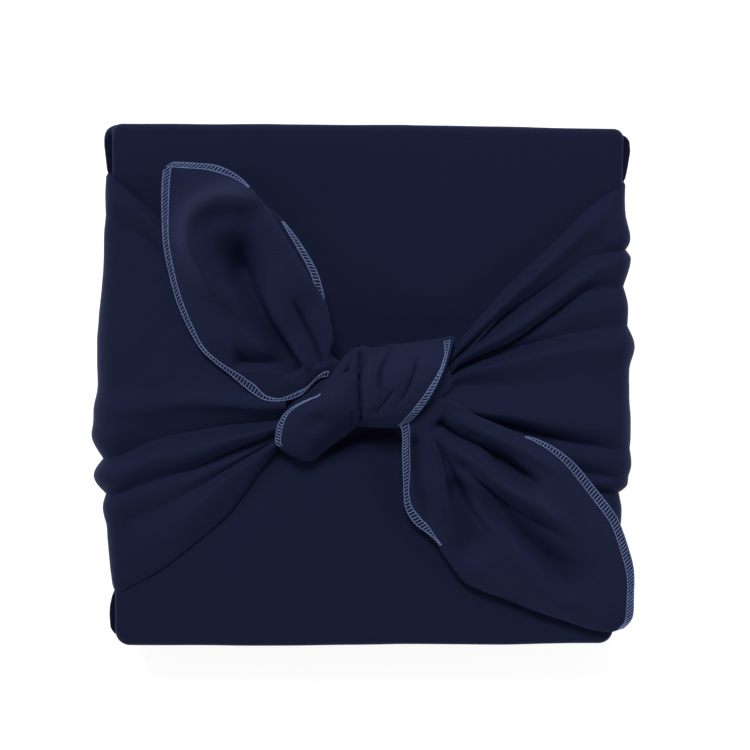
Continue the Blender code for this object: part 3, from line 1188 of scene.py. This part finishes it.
@dataclass(frozen=True)
class Drape:
    """Cloth laid in folds between two borders.

    The cloth never comes nearer the lid than its least rise, which grows towards the knot.
    Its rises and turns are in mm, its flat size and its area in metres, its weave in degrees.
    """

    name: str
    stops: tuple[Stop, ...]
    flat: tuple[float, float]
    area: float
    rests_on: str
    creases: tuple[Crease, ...] = ()
    hems: tuple[Hem, ...] = ()
    held: str = "folded"
    start_turn: float = 0.0
    end_turn: float = 0.0
    rows: int = 170
    columns: int = 124
    unevenness: float = 0.12
    swell: float = 13.0
    weave_turn: float = 0.0
    least: float = 2.0
    least_at_knot: float = 8.5
    least_turn: float = 0.25

    def middle(self) -> tuple[Array, Array, Array]:
        """Middle of the cloth, between its two borders.

        Returns:
            The points, their weave coordinates, and the turn of both borders in each row.
        """
        places = np.linspace(0, len(self.stops) - 1, self.rows)
        rows = spline(np.array([stop.numbers() for stop in self.stops], float), places)
        share = np.linspace(0, 1, self.columns)[None, :, None]
        points = rows[:, None, 0:3] * (1 - share) + rows[:, None, 3:6] * share
        x, y, rise = (points[..., axis] for axis in range(3))
        rise = rise + rows[:, 6:7] * (4 * share * (1 - share))[..., 0] + pressed(self.creases, x, y)
        rise = rise + self.unevenness * unevenness(x, y, self.swell)
        from_knot = np.hypot(x - KNOT_MIDDLE[0], y - KNOT_MIDDLE[1])
        least = self.least + self.least_at_knot * np.exp(-from_knot / KNOT_REACH)
        rise = least + np.logaddexp(0.0, rise - least)
        points = np.stack((x, y, rise + PARCEL.height / MM), axis=-1) * MM
        turn = math.radians(self.weave_turn)
        first = x * math.cos(turn) + y * math.sin(turn)
        second = y * math.cos(turn) - x * math.sin(turn)
        weave = np.stack((first, second), axis=-1) * MM
        return points, weave, np.maximum(rows[:, 7:9], self.least_turn)

    def build(self) -> tuple[Piece, Array]:
        """Make the cloth, with its borders turned under.

        Returns:
            The object, and the middle of its cloth for the hems to follow.
        """
        middle, weave, turns = self.middle()
        points = middle
        for at_end, radius in ((False, self.start_turn), (True, self.end_turn)):
            if radius > 0:
                radii = np.full(points.shape[1], radius)
                turned = turn_under(points.swapaxes(0, 1), weave.swapaxes(0, 1), radii, at_end)
                points, weave = (grid.swapaxes(0, 1) for grid in turned)
                added = (0, TURN_COLUMNS) if at_end else (TURN_COLUMNS, 0)
                turns = np.pad(turns, (added, (0, 0)), mode="edge")
        for right in (False, True):
            points, weave = turn_under(points, weave, turns[:, int(right)], right)
        if grid_normals(points)[:, TURN_COLUMNS:-TURN_COLUMNS, 2].sum() < 0:
            points, weave = points[:, ::-1], weave[:, ::-1]
        return sheet_piece(self.name, points, weave), middle


def turn_under(points: Array, weave: Array, radii: Array,
               right: bool) -> tuple[Array, Array]:
    """Turn a border of a grid under, as a fold of cloth does.

    Args:
        points: Rows by columns by 3, the middle of the cloth.
        weave: Its weave coordinates.
        radii: The turn's radius in each row, in mm.
        right: Whether the border is the last column.

    Returns:
        The points and the weave coordinates with the turn added.
    """
    border, beside, inside = (-1, -2, -4) if right else (0, 1, 3)
    edge = points[:, border]
    up = smoothed(upward_normals(points)[:, border])
    out = edge - points[:, inside]
    out = smoothed(unit(out - up * (out * up).sum(axis=1, keepdims=True)))
    # The wider a turn is, the more cloth is tucked under, in mm.
    tuck = np.clip((radii - FLAT_TURN) * TUCK_RATE + TUCK_LIMITS[0], *TUCK_LIMITS)[:, None] * MM
    extra, runs = turned_border(edge, out, up, radii[:, None] * MM, tuck / TUCK_COLUMNS,
                                TURN_COLUMNS - TUCK_COLUMNS, BORDER_TURN)
    threads = weave[:, border]
    threads = threads[:, None] + unit(threads - weave[:, beside])[:, None] * runs
    return attached(points, extra, right), attached(weave, threads, right)


UPPER_END = Drape(
    "upper_end",
    (
        Stop((-6, 4, 13), (-3, 9, 14), 0.5, 0.3, 1.0),
        Stop((-18.3, 7.1, 13), (-15, 13.5, 16.5), 0.5, 0.3, 1.5),
        Stop((-27.7, -0.8, 11), (-15.5, 20, 18), 1.0, 0.3, 1.6),
        Stop((-35.4, -3.5, 10), (-16, 26.9, 18), 1.5, 0.3, 1.6),
        Stop((-43.5, -3.1, 10), (-17.6, 34.8, 18), 2, 0.3, 1.6),
        Stop((-50.2, 1.2, 10), (-20.6, 41.8, 17), 4, 0.3, 1.6),
        Stop((-57.2, 7.2, 10), (-24.6, 48, 18.5), 6, 0.3, 1.6),
        Stop((-65.2, 13.6, 10), (-29.2, 55.9, 19), 7, 0.3, 1.6),
        Stop((-70.5, 19.1, 10), (-32, 60.2, 19), 7, 0.3, 1.6),
        Stop((-75.9, 28.8, 10), (-34.8, 65.0, 19), 7, 0.3, 1.6),
        Stop((-80.3, 39.7, 10), (-40.6, 74, 18), 7, 0.3, 1.5),
        Stop((-83.5, 52.6, 10), (-45.5, 81.5, 16.5), 7, 0.3, 1.4),
        Stop((-85.1, 61.8, 10), (-50.3, 87, 14), 5.5, 0.3, 1.0),
        Stop((-85.6, 69.7, 10), (-55.5, 91.3, 11.5), 4, 0.3, 0.4),
        Stop((-85.8, 79, 10), (-63, 94.6, 10.5), 2),
        Stop((-85.6, 87.5, 10), (-72.5, 95.6, 10)),
        Stop((-84.9, 94, 10), (-80.8, 96, 10), 0.2),
    ),
    flat=(0.14, 0.14),
    area=0.0082,
    rests_on="left_wing",
    creases=(
        Crease(((-58, 72), (-54, 64), (-51, 56), (-48, 47), (-43, 37), (-36, 26)),
               6.0, 12, 14, 0.3, 0.35, narrowing=0.6),
        Crease(((-57, 69), (-54.8, 61), (-52.8, 53.5), (-50.5, 46), (-47, 38.5), (-41.3, 30),
               (-34.8, 20), (-27, 8.5)), 16.5, 7.2, 15.5, 0.36, 0.06, narrowing=0.28),
        Crease(((-36, 20), (-45, 30.5), (-55, 38.5), (-64, 46), (-70, 56), (-73.5, 65), (-72.5, 73),
               (-67, 79), (-59, 81.5), (-50, 80.5), (-43, 76)), -8.5, 6.0, 7.0, 0.3, 0.12),
        Crease(((-43, 52), (-42, 43), (-38.4, 32), (-31.8, 20), (-23, 8)), -3.4, 3.8, 3.4, 0.3, 0.15,
               narrowing=0.6),
        Crease(((-33, 44), (-27, 31), (-21.8, 21.5), (-17.6, 11)), 4.8, 3.2, 4.8, 0.35, 0.1, Press.SHARP,
               0.6),
        Crease(((-57, 12.6), (-50, 12.4), (-43, 12.0), (-36, 11.2), (-29, 9.6), (-24, 7.5)),
               6.4, 7.0, 2.4, 0.12, 0.55, narrowing=0.35),
        Crease(((-45, 80), (-38, 67), (-30, 54.5), (-22.5, 42), (-18, 32)), -1.4, 4, 4, 0.2, 0.3),
    ),
    hems=(
        Hem(False, 0.055, 1.0, (3.0, 3.4, 3.4, 1.1, 2.0, 3.7, 3.2, 1.9, 1.5, 1.9, 2.6, 3.0, 3.2, 3.4,
            3.4, 3.6, 3.7, 3.8, 3.8, 3.8)),
        Hem(True, 1.0, 0.72, (3.8, 3.8, 3.6, 3.2, 2.4, 1.4, 0.5)),
    ),
    weave_turn=2.0,
    least_at_knot=17.5,
)

UPPER_END_UNDER = Drape(
    "upper_end_under",
    (
        Stop((-28, 26, 11), (-17.4, 33, 14.5)),
        Stop((-32, 36, 10.5), (-18.0, 40, 14.5)),
        Stop((-36, 44, 10), (-19.0, 44.8, 14)),
        Stop((-39, 51, 10), (-20.8, 50.5, 14)),
        Stop((-43, 58, 9.5), (-24.6, 57.5, 13.5)),
        Stop((-47, 66, 9.5), (-30.2, 65.8, 12.5)),
        Stop((-50, 73, 9), (-36.0, 72.6, 12)),
        Stop((-54, 80, 9), (-43.0, 78.5, 10.5)),
    ),
    flat=(0.075, 0.03),
    area=0.0010,
    rests_on="left_wing",
    hems=(Hem(True, 0.12, 0.86, (1.0, 2.2, 2.8, 2.8, 2.6, 1.8, 0.4)),),
    rows=70,
    columns=30,
    weave_turn=30.0,
)

LOWER_END = Drape(
    "lower_end",
    (
        Stop((10, -6, 13), (24, 2, 14), 0.5, 0.3, 1.0),
        Stop((15.1, -14.8, 13), (29.3, -2.5, 15), 1, 0.3, 1.5),
        Stop((15.7, -26.4, 9), (36.8, -4.4, 14), 2, 0.3, 1.6),
        Stop((16.3, -38, 7), (45.8, -10, 12.5), 3, 0.3, 1.6),
        Stop((17.2, -49.9, 6), (57.3, -14.8, 11.5), 5, 0.3, 1.5),
        Stop((21.2, -57, 5.5), (66.7, -18.3, 10.5), 6.5, 0.3, 0.6),
        Stop((26.4, -60.9, 6), (72.8, -20.1, 10), 7.5, 0.6),
        Stop((31.2, -65.1, 7), (80.5, -23.9, 10), 8, 1.4),
        Stop((36, -72.1, 6.5), (88.4, -30, 10), 8, 1.9),
        Stop((43.5, -81.8, 6.3), (95.9, -38.7, 9.5), 7.5, 2.1),
        Stop((51.4, -86.1, 6.3), (104, -48.8, 9), 7, 2.2),
        Stop((63.1, -90.1, 6.3), (108.1, -55.1, 8.5), 6, 2.2),
        Stop((74.9, -94.9, 6.3), (112.4, -66.2, 8), 4, 2.0),
        Stop((86.7, -98.8, 6), (115.4, -76.9, 7), 3, 1.8),
        Stop((98.1, -102.7, 5.5), (115.9, -88.6, 6), 1, 1.4),
        Stop((104, -104.2, 5), (115.7, -98.4, 5), 0.5, 0.9),
        Stop((107.2, -104.9, 4.5), (112, -103.2, 5), 0.2, 0.4),
    ),
    flat=(0.15, 0.15),
    area=0.0100,
    rests_on="right_wing",
    creases=(
        Crease(((29, -11), (36, -16.5), (46.2, -21.8), (57.3, -27.2), (66.3, -33.5), (77, -41)),
               8.5, 3.2, 4.4, 0.05, 0.4, Press.SHARP),
        Crease(((46, -25), (56, -30.5), (66, -36), (75, -42)), 8.5, 4.4, 6.0, 0.35, 0.35),
        Crease(((34, -9), (45, -14), (56, -19), (66, -23.5), (76, -29), (86, -38)),
               -3.0, 4, 3.4, 0.2, 0.3),
        Crease(((34, -20), (43.9, -27.8), (57.3, -37.4), (68.5, -44.4), (79.7, -52.4), (91, -60.5)),
               -4.4, 4.6, 3.0, 0.15, 0.35),
        Crease(((32, -21), (40, -30), (49.5, -39.2), (59.6, -47), (70.7, -53.6), (81.9, -60.2),
               (93, -68)), 4.6, 2.8, 7.0, 0.3, 0.35, Press.SHARP),
        Crease(((41, -35), (48.5, -44), (57, -53.5), (66, -63.5), (77, -74), (88, -83), (98, -90)),
               12.5, 7.0, 3.6, 0.3, 0.32, narrowing=1.9),
        Crease(((41, -31), (45, -37), (49.5, -44.5), (57, -56), (62, -67), (66, -78)),
               -4.6, 4.4, 4.0, 0.15, 0.4),
        Crease(((31, -21), (36.5, -33), (42.3, -45.6), (46.4, -51.8), (52, -59.5), (57, -67)),
               4.4, 2.6, 5.5, 0.35, 0.35, Press.SHARP),
        Crease(((37, -33), (39, -45), (42, -56), (46.5, -67), (51.5, -76)), 10.5, 5.0, 4.6, 0.3, 0.32,
               narrowing=1.9),
        Crease(((28, -18), (32, -28), (34.6, -40), (36, -52), (37.5, -64)), 3.6, 2.4, 2.4, 0.1, 0.4,
               Press.SHARP),
        Crease(((24, -15), (27.6, -24), (30.6, -36), (33.2, -49), (35.5, -60)),
               -3.4, 3.2, 3.2, 0.15, 0.3),
        Crease(((21, -16), (22.3, -27), (23.6, -39), (27, -51), (31.5, -62)), 3.6, 3.4, 3.2, 0.15, 0.35),
    ),
    hems=(
        Hem(False, 0.05, 0.46, (3.6, 4.0, 4.4, 4.0, 2.8, 3.0, 3.8, 3.6, 2.2, 0.8, 0.4)),
        Hem(True, 0.32, 1.0, (0.5, 2.2, 3.4, 3.8, 3.8, 3.8, 3.6, 3.4)),
    ),
    weave_turn=-24.0,
)


# Knot

KNOT_BAND = Drape(
    "knot_band",
    (
        Stop((-7, 16.5, 12), (35, 22.2, 13.5), 3, 0.5, 1.2),
        Stop((-7.5, 12.5, 17), (33.6, 17, 18.5), 3.5, 0.5, 1.5),
        Stop((-8, 7, 20.5), (31.4, 10.5, 21), 3, 0.5, 1.8),
        Stop((-8, 1, 21.5), (28.2, 3.5, 21.5), 2.5, 0.5, 2.0),
        Stop((-7, -4.5, 20), (24.2, -3.5, 20), 2.5, 0.5, 2.0),
        Stop((-5.5, -9.5, 17), (20, -9.3, 17), 2.5, 0.5, 1.8),
        Stop((-4, -14, 9.5), (16.2, -14.4, 10), 2, 0.5, 1.2),
    ),
    flat=(0.072, 0.08),
    area=0.0042,
    rests_on="knot_core",
    creases=(
        Crease(((-3.5, 19), (-3, 12), (-3, 5), (-2.5, -2), (-2, -13)), 3.8, 1.8, 1.8, 0.1, 0.1,
               Press.SHARP),
        Crease(((12, 21.5), (9.4, 16.5), (6.4, 11), (5.4, 5), (5.2, -2)), 3.0, 1.3, 2.4, 0.15, 0.45,
               Press.SHARP),
        Crease(((21.5, 21), (20.5, 12), (18.5, 5.5), (15, -1.5), (11.5, -6)), 2.8, 1.4, 2.8, 0.4, 0.35,
               Press.SHARP),
        Crease(((12.5, 3.5), (8, -2.5), (3.5, -9)), 2.2, 1.5, 2.0, 0.25, 0.25, Press.SHARP),
        Crease(((0.6, 18), (1.2, 6.5), (2.2, -8)), -2.2, 2.2, 2.2, 0.15, 0.15),
        Crease(((28, 20), (27, 10), (23, 0), (16, -9)), -0.6, 5, 5, 0.1, 0.1),
    ),
    hems=(Hem(True, 0.0, 1.0, (2.6, 1.0, 1.2, 2.4, 3.3, 3.4, 3.4)),),
    held="gathered",
    start_turn=5.6,
    end_turn=4.6,
    rows=96,
    columns=96,
    unevenness=0.14,
    swell=7.0,
    weave_turn=4.0,
    least_at_knot=0.0,
)

KNOT_LOBE = Drape(
    "knot_lobe",
    (
        Stop((-9, 15.5, 15), (-5.1, 18, 18.5), 1.0, 1.6, 1.0),
        Stop((-12, 11, 17), (-4.9, 13, 21.5), 1.5, 1.6, 1.2),
        Stop((-15.5, 6, 18), (-4.7, 7, 23), 2.0, 1.4, 1.4),
        Stop((-19.5, -0.4, 18), (-4.5, 1, 23), 2.5, 0.5, 1.6),
        Stop((-24.5, -2.8, 17), (-4.2, -4.5, 22), 3.5, 0.3, 2.0),
        Stop((-30, -5.6, 15), (-4.0, -9.6, 18), 5.0, 0.3, 2.6),
        Stop((-34.4, -9.2, 12.5), (-6, -14.6, 12), 6.4, 0.3, 3.4),
        Stop((-37.2, -14.2, 10.5), (-10.4, -19.0, 9), 7.0, 0.4, 4.0),
        Stop((-38.3, -19, 8), (-15.4, -22.8, 7.5), 6.4, 0.8, 4.0),
        Stop((-38.1, -23, 7), (-19.3, -26.2, 6.5), 5.0, 1.6, 3.6),
        Stop((-35.3, -25.8, 6.3), (-23, -29.4, 6), 3.0, 2.0, 3.0),
    ),
    flat=(0.058, 0.05),
    area=0.0028,
    rests_on="knot_core",
    creases=(
        Crease(((-14, -8), (-23.5, -13), (-28, -17)), 1.3, 4, 4, 0.3, 0.3),
        Crease(((-16, -3), (-22, -6), (-28, -8.5)), -0.8, 4, 4, 0.3, 0.3),
        Crease(((-7, 12), (-12, 5), (-16, -1)), 1.0, 3, 3, 0.1, 0.4),
        Crease(((-8, -15), (-16, -20), (-22, -25)), 0.9, 3, 3, 0.2, 0.2),
        Crease(((-6.2, -5), (-6.2, -10), (-6.6, -15)), 1.3, 1.2, 1.2, 0.3, 0.1, Press.SHARP),
    ),
    hems=(Hem(False, 0.30, 0.93, (0.7, 0.9, 1.1, 1.6, 2.4, 3.3, 3.4, 3.4)),),
    held="gathered",
    start_turn=2.0,
    end_turn=3.4,
    rows=96,
    columns=80,
    unevenness=0.2,
    swell=6.0,
    weave_turn=-30.0,
    least_at_knot=0.0,
)


@dataclass(frozen=True)
class Strand:
    """A rolled strand of cloth inside the knot, closed at both ends.

    Each ring along its run is X, Y, rise over the lid, half width and half thickness, in mm.
    """

    name: str
    rings: tuple[tuple[float, ...], ...]
    fill: float = 0.8
    rows: int = 80
    sides: int = 72
    squareness: float = 2.4
    unevenness: float = 0.3
    swell: float = 6.0
    weave_radius: float = 0.8

    def build(self) -> Piece:
        """Make the strand's closed mesh.

        Returns:
            The object.
        """
        table = np.array(self.rings, float)
        rows = spline(table, np.linspace(0, len(table) - 1, self.rows))
        middles = rows[:, :3] + np.array((0, 0, PARCEL.height / MM))
        run = unit(np.gradient(middles, axis=0))
        across = unit(np.stack((-run[:, 1], run[:, 0], np.zeros(len(run))), axis=-1))
        thick = np.cross(run, across)
        angles = np.linspace(0, TURN, self.sides, endpoint=False)
        wide, tall = (np.sign(wave) * np.abs(wave) ** (2 / self.squareness)
                      for wave in (np.cos(angles), np.sin(angles)))
        points = middles[:, None] + across[:, None] * (rows[:, 3, None] * wide)[..., None]
        points = points + thick[:, None] * (rows[:, 4, None] * tall)[..., None]
        normals = grid_normals(points, closed=True)
        outward = bool((normals * (points - middles[:, None])).sum() > 0)
        if not outward:
            normals = -normals
        x, y, z = (points[..., axis] for axis in range(3))
        relief = self.unevenness * unevenness(x + z, y, self.swell)
        points = (points + normals * relief[..., None]) * MM
        around = angles * rows[:, 3].mean() * self.weave_radius
        weave = np.stack(np.meshgrid(distances(middles), around, indexing="ij"), axis=-1) * MM
        shell = Shell()
        numbers = shell.place(points, weave)
        shell.skin(numbers, closed=True, flip=outward)
        for end, flip in ((0, outward), (-1, not outward)):
            shell.fan(numbers[end], points[end].mean(axis=0), weave[end].mean(axis=0), flip)
        return shell.build(self.name)


KNOT_CORE = Strand(
    "knot_core",
    (
        (-33, -13, 5, 4, 3),
        (-26, -9, 6.5, 9, 4.5),
        (-16, -4, 8, 11, 5.5),
        (-4, 0, 9.5, 12, 8),
        (8, 2, 10, 13, 8.5),
        (20, 4, 10, 13, 8.5),
        (29, 6, 9, 10, 7),
        (35, 7, 8, 6, 5),
    ),
)


# Overlocked hems

# The most of a row of cloth that a hem takes up.
HEM_SHARE = 0.8


@dataclass(frozen=True)
class Overlock:
    """Overlock stitching along a hem. Metres."""

    pitch: float = 0.0015
    thread: float = 0.00024
    sides: int = 4
    lift: float = 0.00042
    lean: float = 0.25
    sway: float = 0.03
    rise: float = 0.3
    inset: float = 0.02

    def build(self, drape: Drape, middle: Array) -> Piece:
        """Make the stitching of a draped piece.

        Args:
            drape: The piece.
            middle: The grid of its cloth's middle.

        Returns:
            The object.
        """
        shell = Shell()
        for hem in drape.hems:
            self.sew(shell, middle, hem)
        return shell.build(f"{drape.name}_stitches")

    def spaced(self, lines: Sequence[Array]) -> list[Array]:
        """Space the stitches evenly along the hem.

        Args:
            lines: The cloth's edge, then the hem's other lines and the normals, row by row.

        Returns:
            The same lines at the two needle places of each stitch.
        """
        done = distances(lines[0])
        count = max(2, int(round(done[-1] / self.pitch)))
        wanted = np.stack((np.arange(count), np.arange(count) + self.lean), axis=-1).ravel()
        return [places_on(line, done, wanted * done[-1] / count) for line in lines]

    def tube(self, shell: Shell, line: Array, up: Array) -> None:
        """Add one thread.

        Args:
            shell: The mesh to add it to.
            line: Points along the thread.
            up: Normals of the cloth at those points.
        """
        run = unit(np.gradient(line, axis=0))
        across = unit(np.cross(run, up))
        rise = np.cross(across, run)
        angles = np.linspace(0, TURN, self.sides, endpoint=False)[:, None]
        ring = across[:, None] * np.cos(angles) + rise[:, None] * np.sin(angles)
        around = np.linspace(0, 1, self.sides)
        weave = np.stack(np.meshgrid(distances(line), around, indexing="ij"), axis=-1)
        numbers = shell.place(line[:, None] + ring * self.thread, weave)
        shell.skin(numbers, closed=True)
        for end, flip in ((0, True), (-1, False)):
            shell.fan(numbers[end], line[end], weave[end, 0], flip)

    def sew(self, shell: Shell, middle: Array, hem: Hem) -> None:
        """Add the stitching along one hem.

        Args:
            shell: The mesh to add it to.
            middle: The grid of the cloth's middle.
            hem: Which border, from where to where, and how wide.
        """
        outer, half, inner, up = self.spaced(hem_lines(middle, hem))
        zigzag: list[Array] = []
        normals: list[Array] = []
        for number in range(len(outer) - 1):
            back = number % 2
            for share in (0.0, 0.25, 0.5, 0.75):
                part = 1 - share if back else share
                edge, mid, end = (line[number] * (1 - share) + line[number + 1] * share
                                  for line in (outer, half, inner))
                place = edge * (1 - part) * (1 - 2 * part) + mid * 4 * part * (1 - part)
                place = place + end * part * (2 * part - 1)
                arch = 0.0 if back and share else self.lift + self.thread * self.rise
                zigzag.append(place + up[number] * arch)
                normals.append(up[number])
        self.tube(shell, np.array(zigzag), np.array(normals))
        sway = np.where(np.arange(len(outer)) % 2 == 0, self.sway, -self.sway)[:, None]
        for line, shift in ((outer, 0.0), (inner, -self.inset)):
            self.tube(shell, line + (inner - outer) * (sway + shift) + up * self.lift, up)


def hem_lines(middle: Array, hem: Hem) -> tuple[Array, ...]:
    """Lines of the stitching on a border.

    Args:
        middle: The grid of the cloth's middle.
        hem: Which border, from where to where, and how wide.

    Returns:
        The points of the edge, the middle line and the inner line, and the normals.
    """
    normals = upward_normals(middle)
    first, last = (int(round(share * (len(middle) - 1))) for share in (hem.start, hem.end))
    step = 1 if last > first else -1
    rows = np.arange(first, last + step, step)
    widths = np.interp(np.linspace(0, 1, len(rows)), np.linspace(0, 1, len(hem.widths)), hem.widths)
    lines: list[tuple[Array, ...]] = []
    for row, width in zip(rows, widths):
        line = middle[row, ::-1] if hem.right else middle[row]
        done = distances(line)
        reach = min(width * MM, done[-1] * HEM_SHARE)
        half, inner = (places_on(line, done, share * reach) for share in (0.5, 1.0))
        lines.append((line[0], half, inner, normals[row, -3 if hem.right else 2]))
    return tuple(np.array(part) for part in zip(*lines))


# Studio


@dataclass(frozen=True)
class Lamp:
    """A broad soft source: its bearing from +Y towards -X and its height, in degrees."""

    name: str
    bearing: float
    height: float
    size: tuple[float, float]
    power: float

    def hang(self, distance: float) -> None:
        """Set the lamp up, facing the parcel.

        Args:
            distance: How far off it hangs, in metres.
        """
        data = bpy.data.lights.new(self.name, "AREA")
        data.shape = "RECTANGLE"
        data.size, data.size_y = self.size
        data.energy = self.power
        lamp = placed(self.name, data)
        bearing = math.radians(self.bearing)
        height = math.radians(self.height)
        level = math.cos(height)
        way = Vector((-math.sin(bearing) * level, math.cos(bearing) * level, math.sin(height)))
        lamp.location = way * distance
        lamp.rotation_euler = way.to_track_quat("Z", "Y").to_euler()


@dataclass(frozen=True)
class Studio:
    """Pale floor, broad soft light and the camera. Metres and degrees."""

    aim: tuple[float, float, float] = (0.0036, 0.0064, 0.042)
    distance: float = 0.6
    tilt: float = 5.5
    roll: float = 0.3
    lens: float = 66.82
    sensor: float = 36.0
    near_clip: float = 0.01
    floor_size: float = 8.0
    lamp_distance: float = 4.0
    lamps: tuple[Lamp, ...] = (
        Lamp("soft_key", 8.0, 50.0, (1.3, 0.9), 157.0),
        Lamp("left_fill", 98.0, 22.0, (2.2, 1.6), 48.0),
        Lamp("right_fill", -90.0, 22.0, (2.2, 1.6), 44.0),
    )
    surround: Colour = (0.97, 0.98, 1.0)
    ambient: float = 0.37

    def camera(self) -> None:
        """Set the camera up."""
        data = bpy.data.cameras.new("camera")
        data.lens = self.lens
        data.sensor_width = self.sensor
        data.clip_start = self.near_clip
        camera = placed("camera", data)
        tilt = math.radians(self.tilt)
        place = Vector(self.aim) + self.distance * Vector((0, math.sin(tilt), math.cos(tilt)))
        turn = Matrix.Rotation(-tilt, 4, "X") @ Matrix.Rotation(math.radians(self.roll), 4, "Z")
        camera.matrix_world = Matrix.Translation(place) @ turn
        bpy.context.scene.camera = camera

    def light(self) -> None:
        """Set the light up: broad soft sources and an even surround."""
        for lamp in self.lamps:
            lamp.hang(self.lamp_distance)
        world = bpy.data.worlds.new("surround")
        world.use_nodes = True
        backdrop = world.node_tree.nodes["Background"]
        backdrop.inputs["Color"].default_value = (*self.surround, 1.0)
        backdrop.inputs["Strength"].default_value = self.ambient
        bpy.context.scene.world = world
        bpy.context.scene.view_settings.view_transform = "Standard"

    def floor(self) -> None:
        """Lay the floor."""
        bpy.ops.object.select_all(action="DESELECT")
        bpy.ops.mesh.primitive_plane_add(size=self.floor_size, location=(0, 0, 0))
        floor = bpy.context.active_object
        floor.name = "studio_floor"
        floor.data.materials.append(PaleFloor().material())


# Putting it together


@dataclass
class Wrap:
    # The knot core and free ends wear a lighter copy of the navy cloth. Its lighter tone is painted light,
    # brightening these raised parts as light would; its finer ribs and stronger grain are the weave.
    tie_painted_lighter: CottonTwill = CottonTwill(
        "navy cotton twill, tie", (0.0074, 0.0090, 0.0225), (0.0093, 0.0113, 0.0278),
        rib_pitch=0.0007, grain=0.32, relief=0.8)
    # The knot's band wears a lighter copy of the same navy cloth: painted light that brightens the band.
    band_painted_lighter: CottonTwill = CottonTwill(
        "navy cotton twill, band", (0.0084, 0.0102, 0.0254), (0.0098, 0.0119, 0.0290))
    # The wings wear a slightly lighter copy of the same navy cloth: painted light that brightens the
    # gathered folds.
    sides: CottonTwill = CottonTwill(
        "navy cotton twill, sides", (0.0070, 0.0086, 0.0212), (0.0080, 0.0098, 0.0240))
    cloth: CottonTwill = CottonTwill()
    thread: OverlockThread = OverlockThread()
    overlock: Overlock = Overlock()

    def dress(self, piece: Piece, finish: bpy.types.Material) -> None:
        """Give a piece its finish and its place in the frame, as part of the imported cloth.

        Args:
            piece: The piece.
            finish: Its material.
        """
        piece.data.materials.append(finish)
        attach(piece, BODY)
        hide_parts(CAD_NODE)
        LOG.info("%s: %d faces", piece.name, len(piece.data.polygons))

    def build(self) -> None:
        """Build the parcel, wings, knot, free ends and stitching."""
        # The sides, tie and band finishes are lighter copies of the navy cloth: painted light.
        finishes = (self.cloth, self.sides, self.tie_painted_lighter, self.band_painted_lighter, self.thread)
        cotton, sides, tie_painted_lighter, band_painted_lighter, thread = (finish.material() for finish in finishes)
        parcel = PARCEL.build()
        self.dress(parcel, cotton)
        for wing in (RIGHT_WING, LEFT_WING):
            piece = wing.build(PARCEL)
            # The wings' lighter copy of the cloth is painted light.
            self.dress(piece, sides)
        # The knot core wears the tie finish, a lighter copy of the cloth: painted light.
        core = KNOT_CORE.build()
        self.dress(core, tie_painted_lighter)
        for drape in (KNOT_BAND, KNOT_LOBE, UPPER_END_UNDER, UPPER_END, LOWER_END):
            piece, middle = drape.build()
            # The band and the other draped pieces wear lighter copies of the navy cloth: painted light.
            self.dress(piece, band_painted_lighter if drape is KNOT_BAND else tie_painted_lighter)
            stitches = self.overlock.build(drape, middle)
            self.dress(stitches, thread)


def main() -> None:
    """Load the frame, and build the wrap and the studio."""
    logging.basicConfig(level=logging.INFO, format="%(name)s: %(message)s")
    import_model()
    Wrap().build()
    studio = Studio()
    studio.floor()
    studio.light()
    studio.camera()


if __name__ == "__main__":
    main()
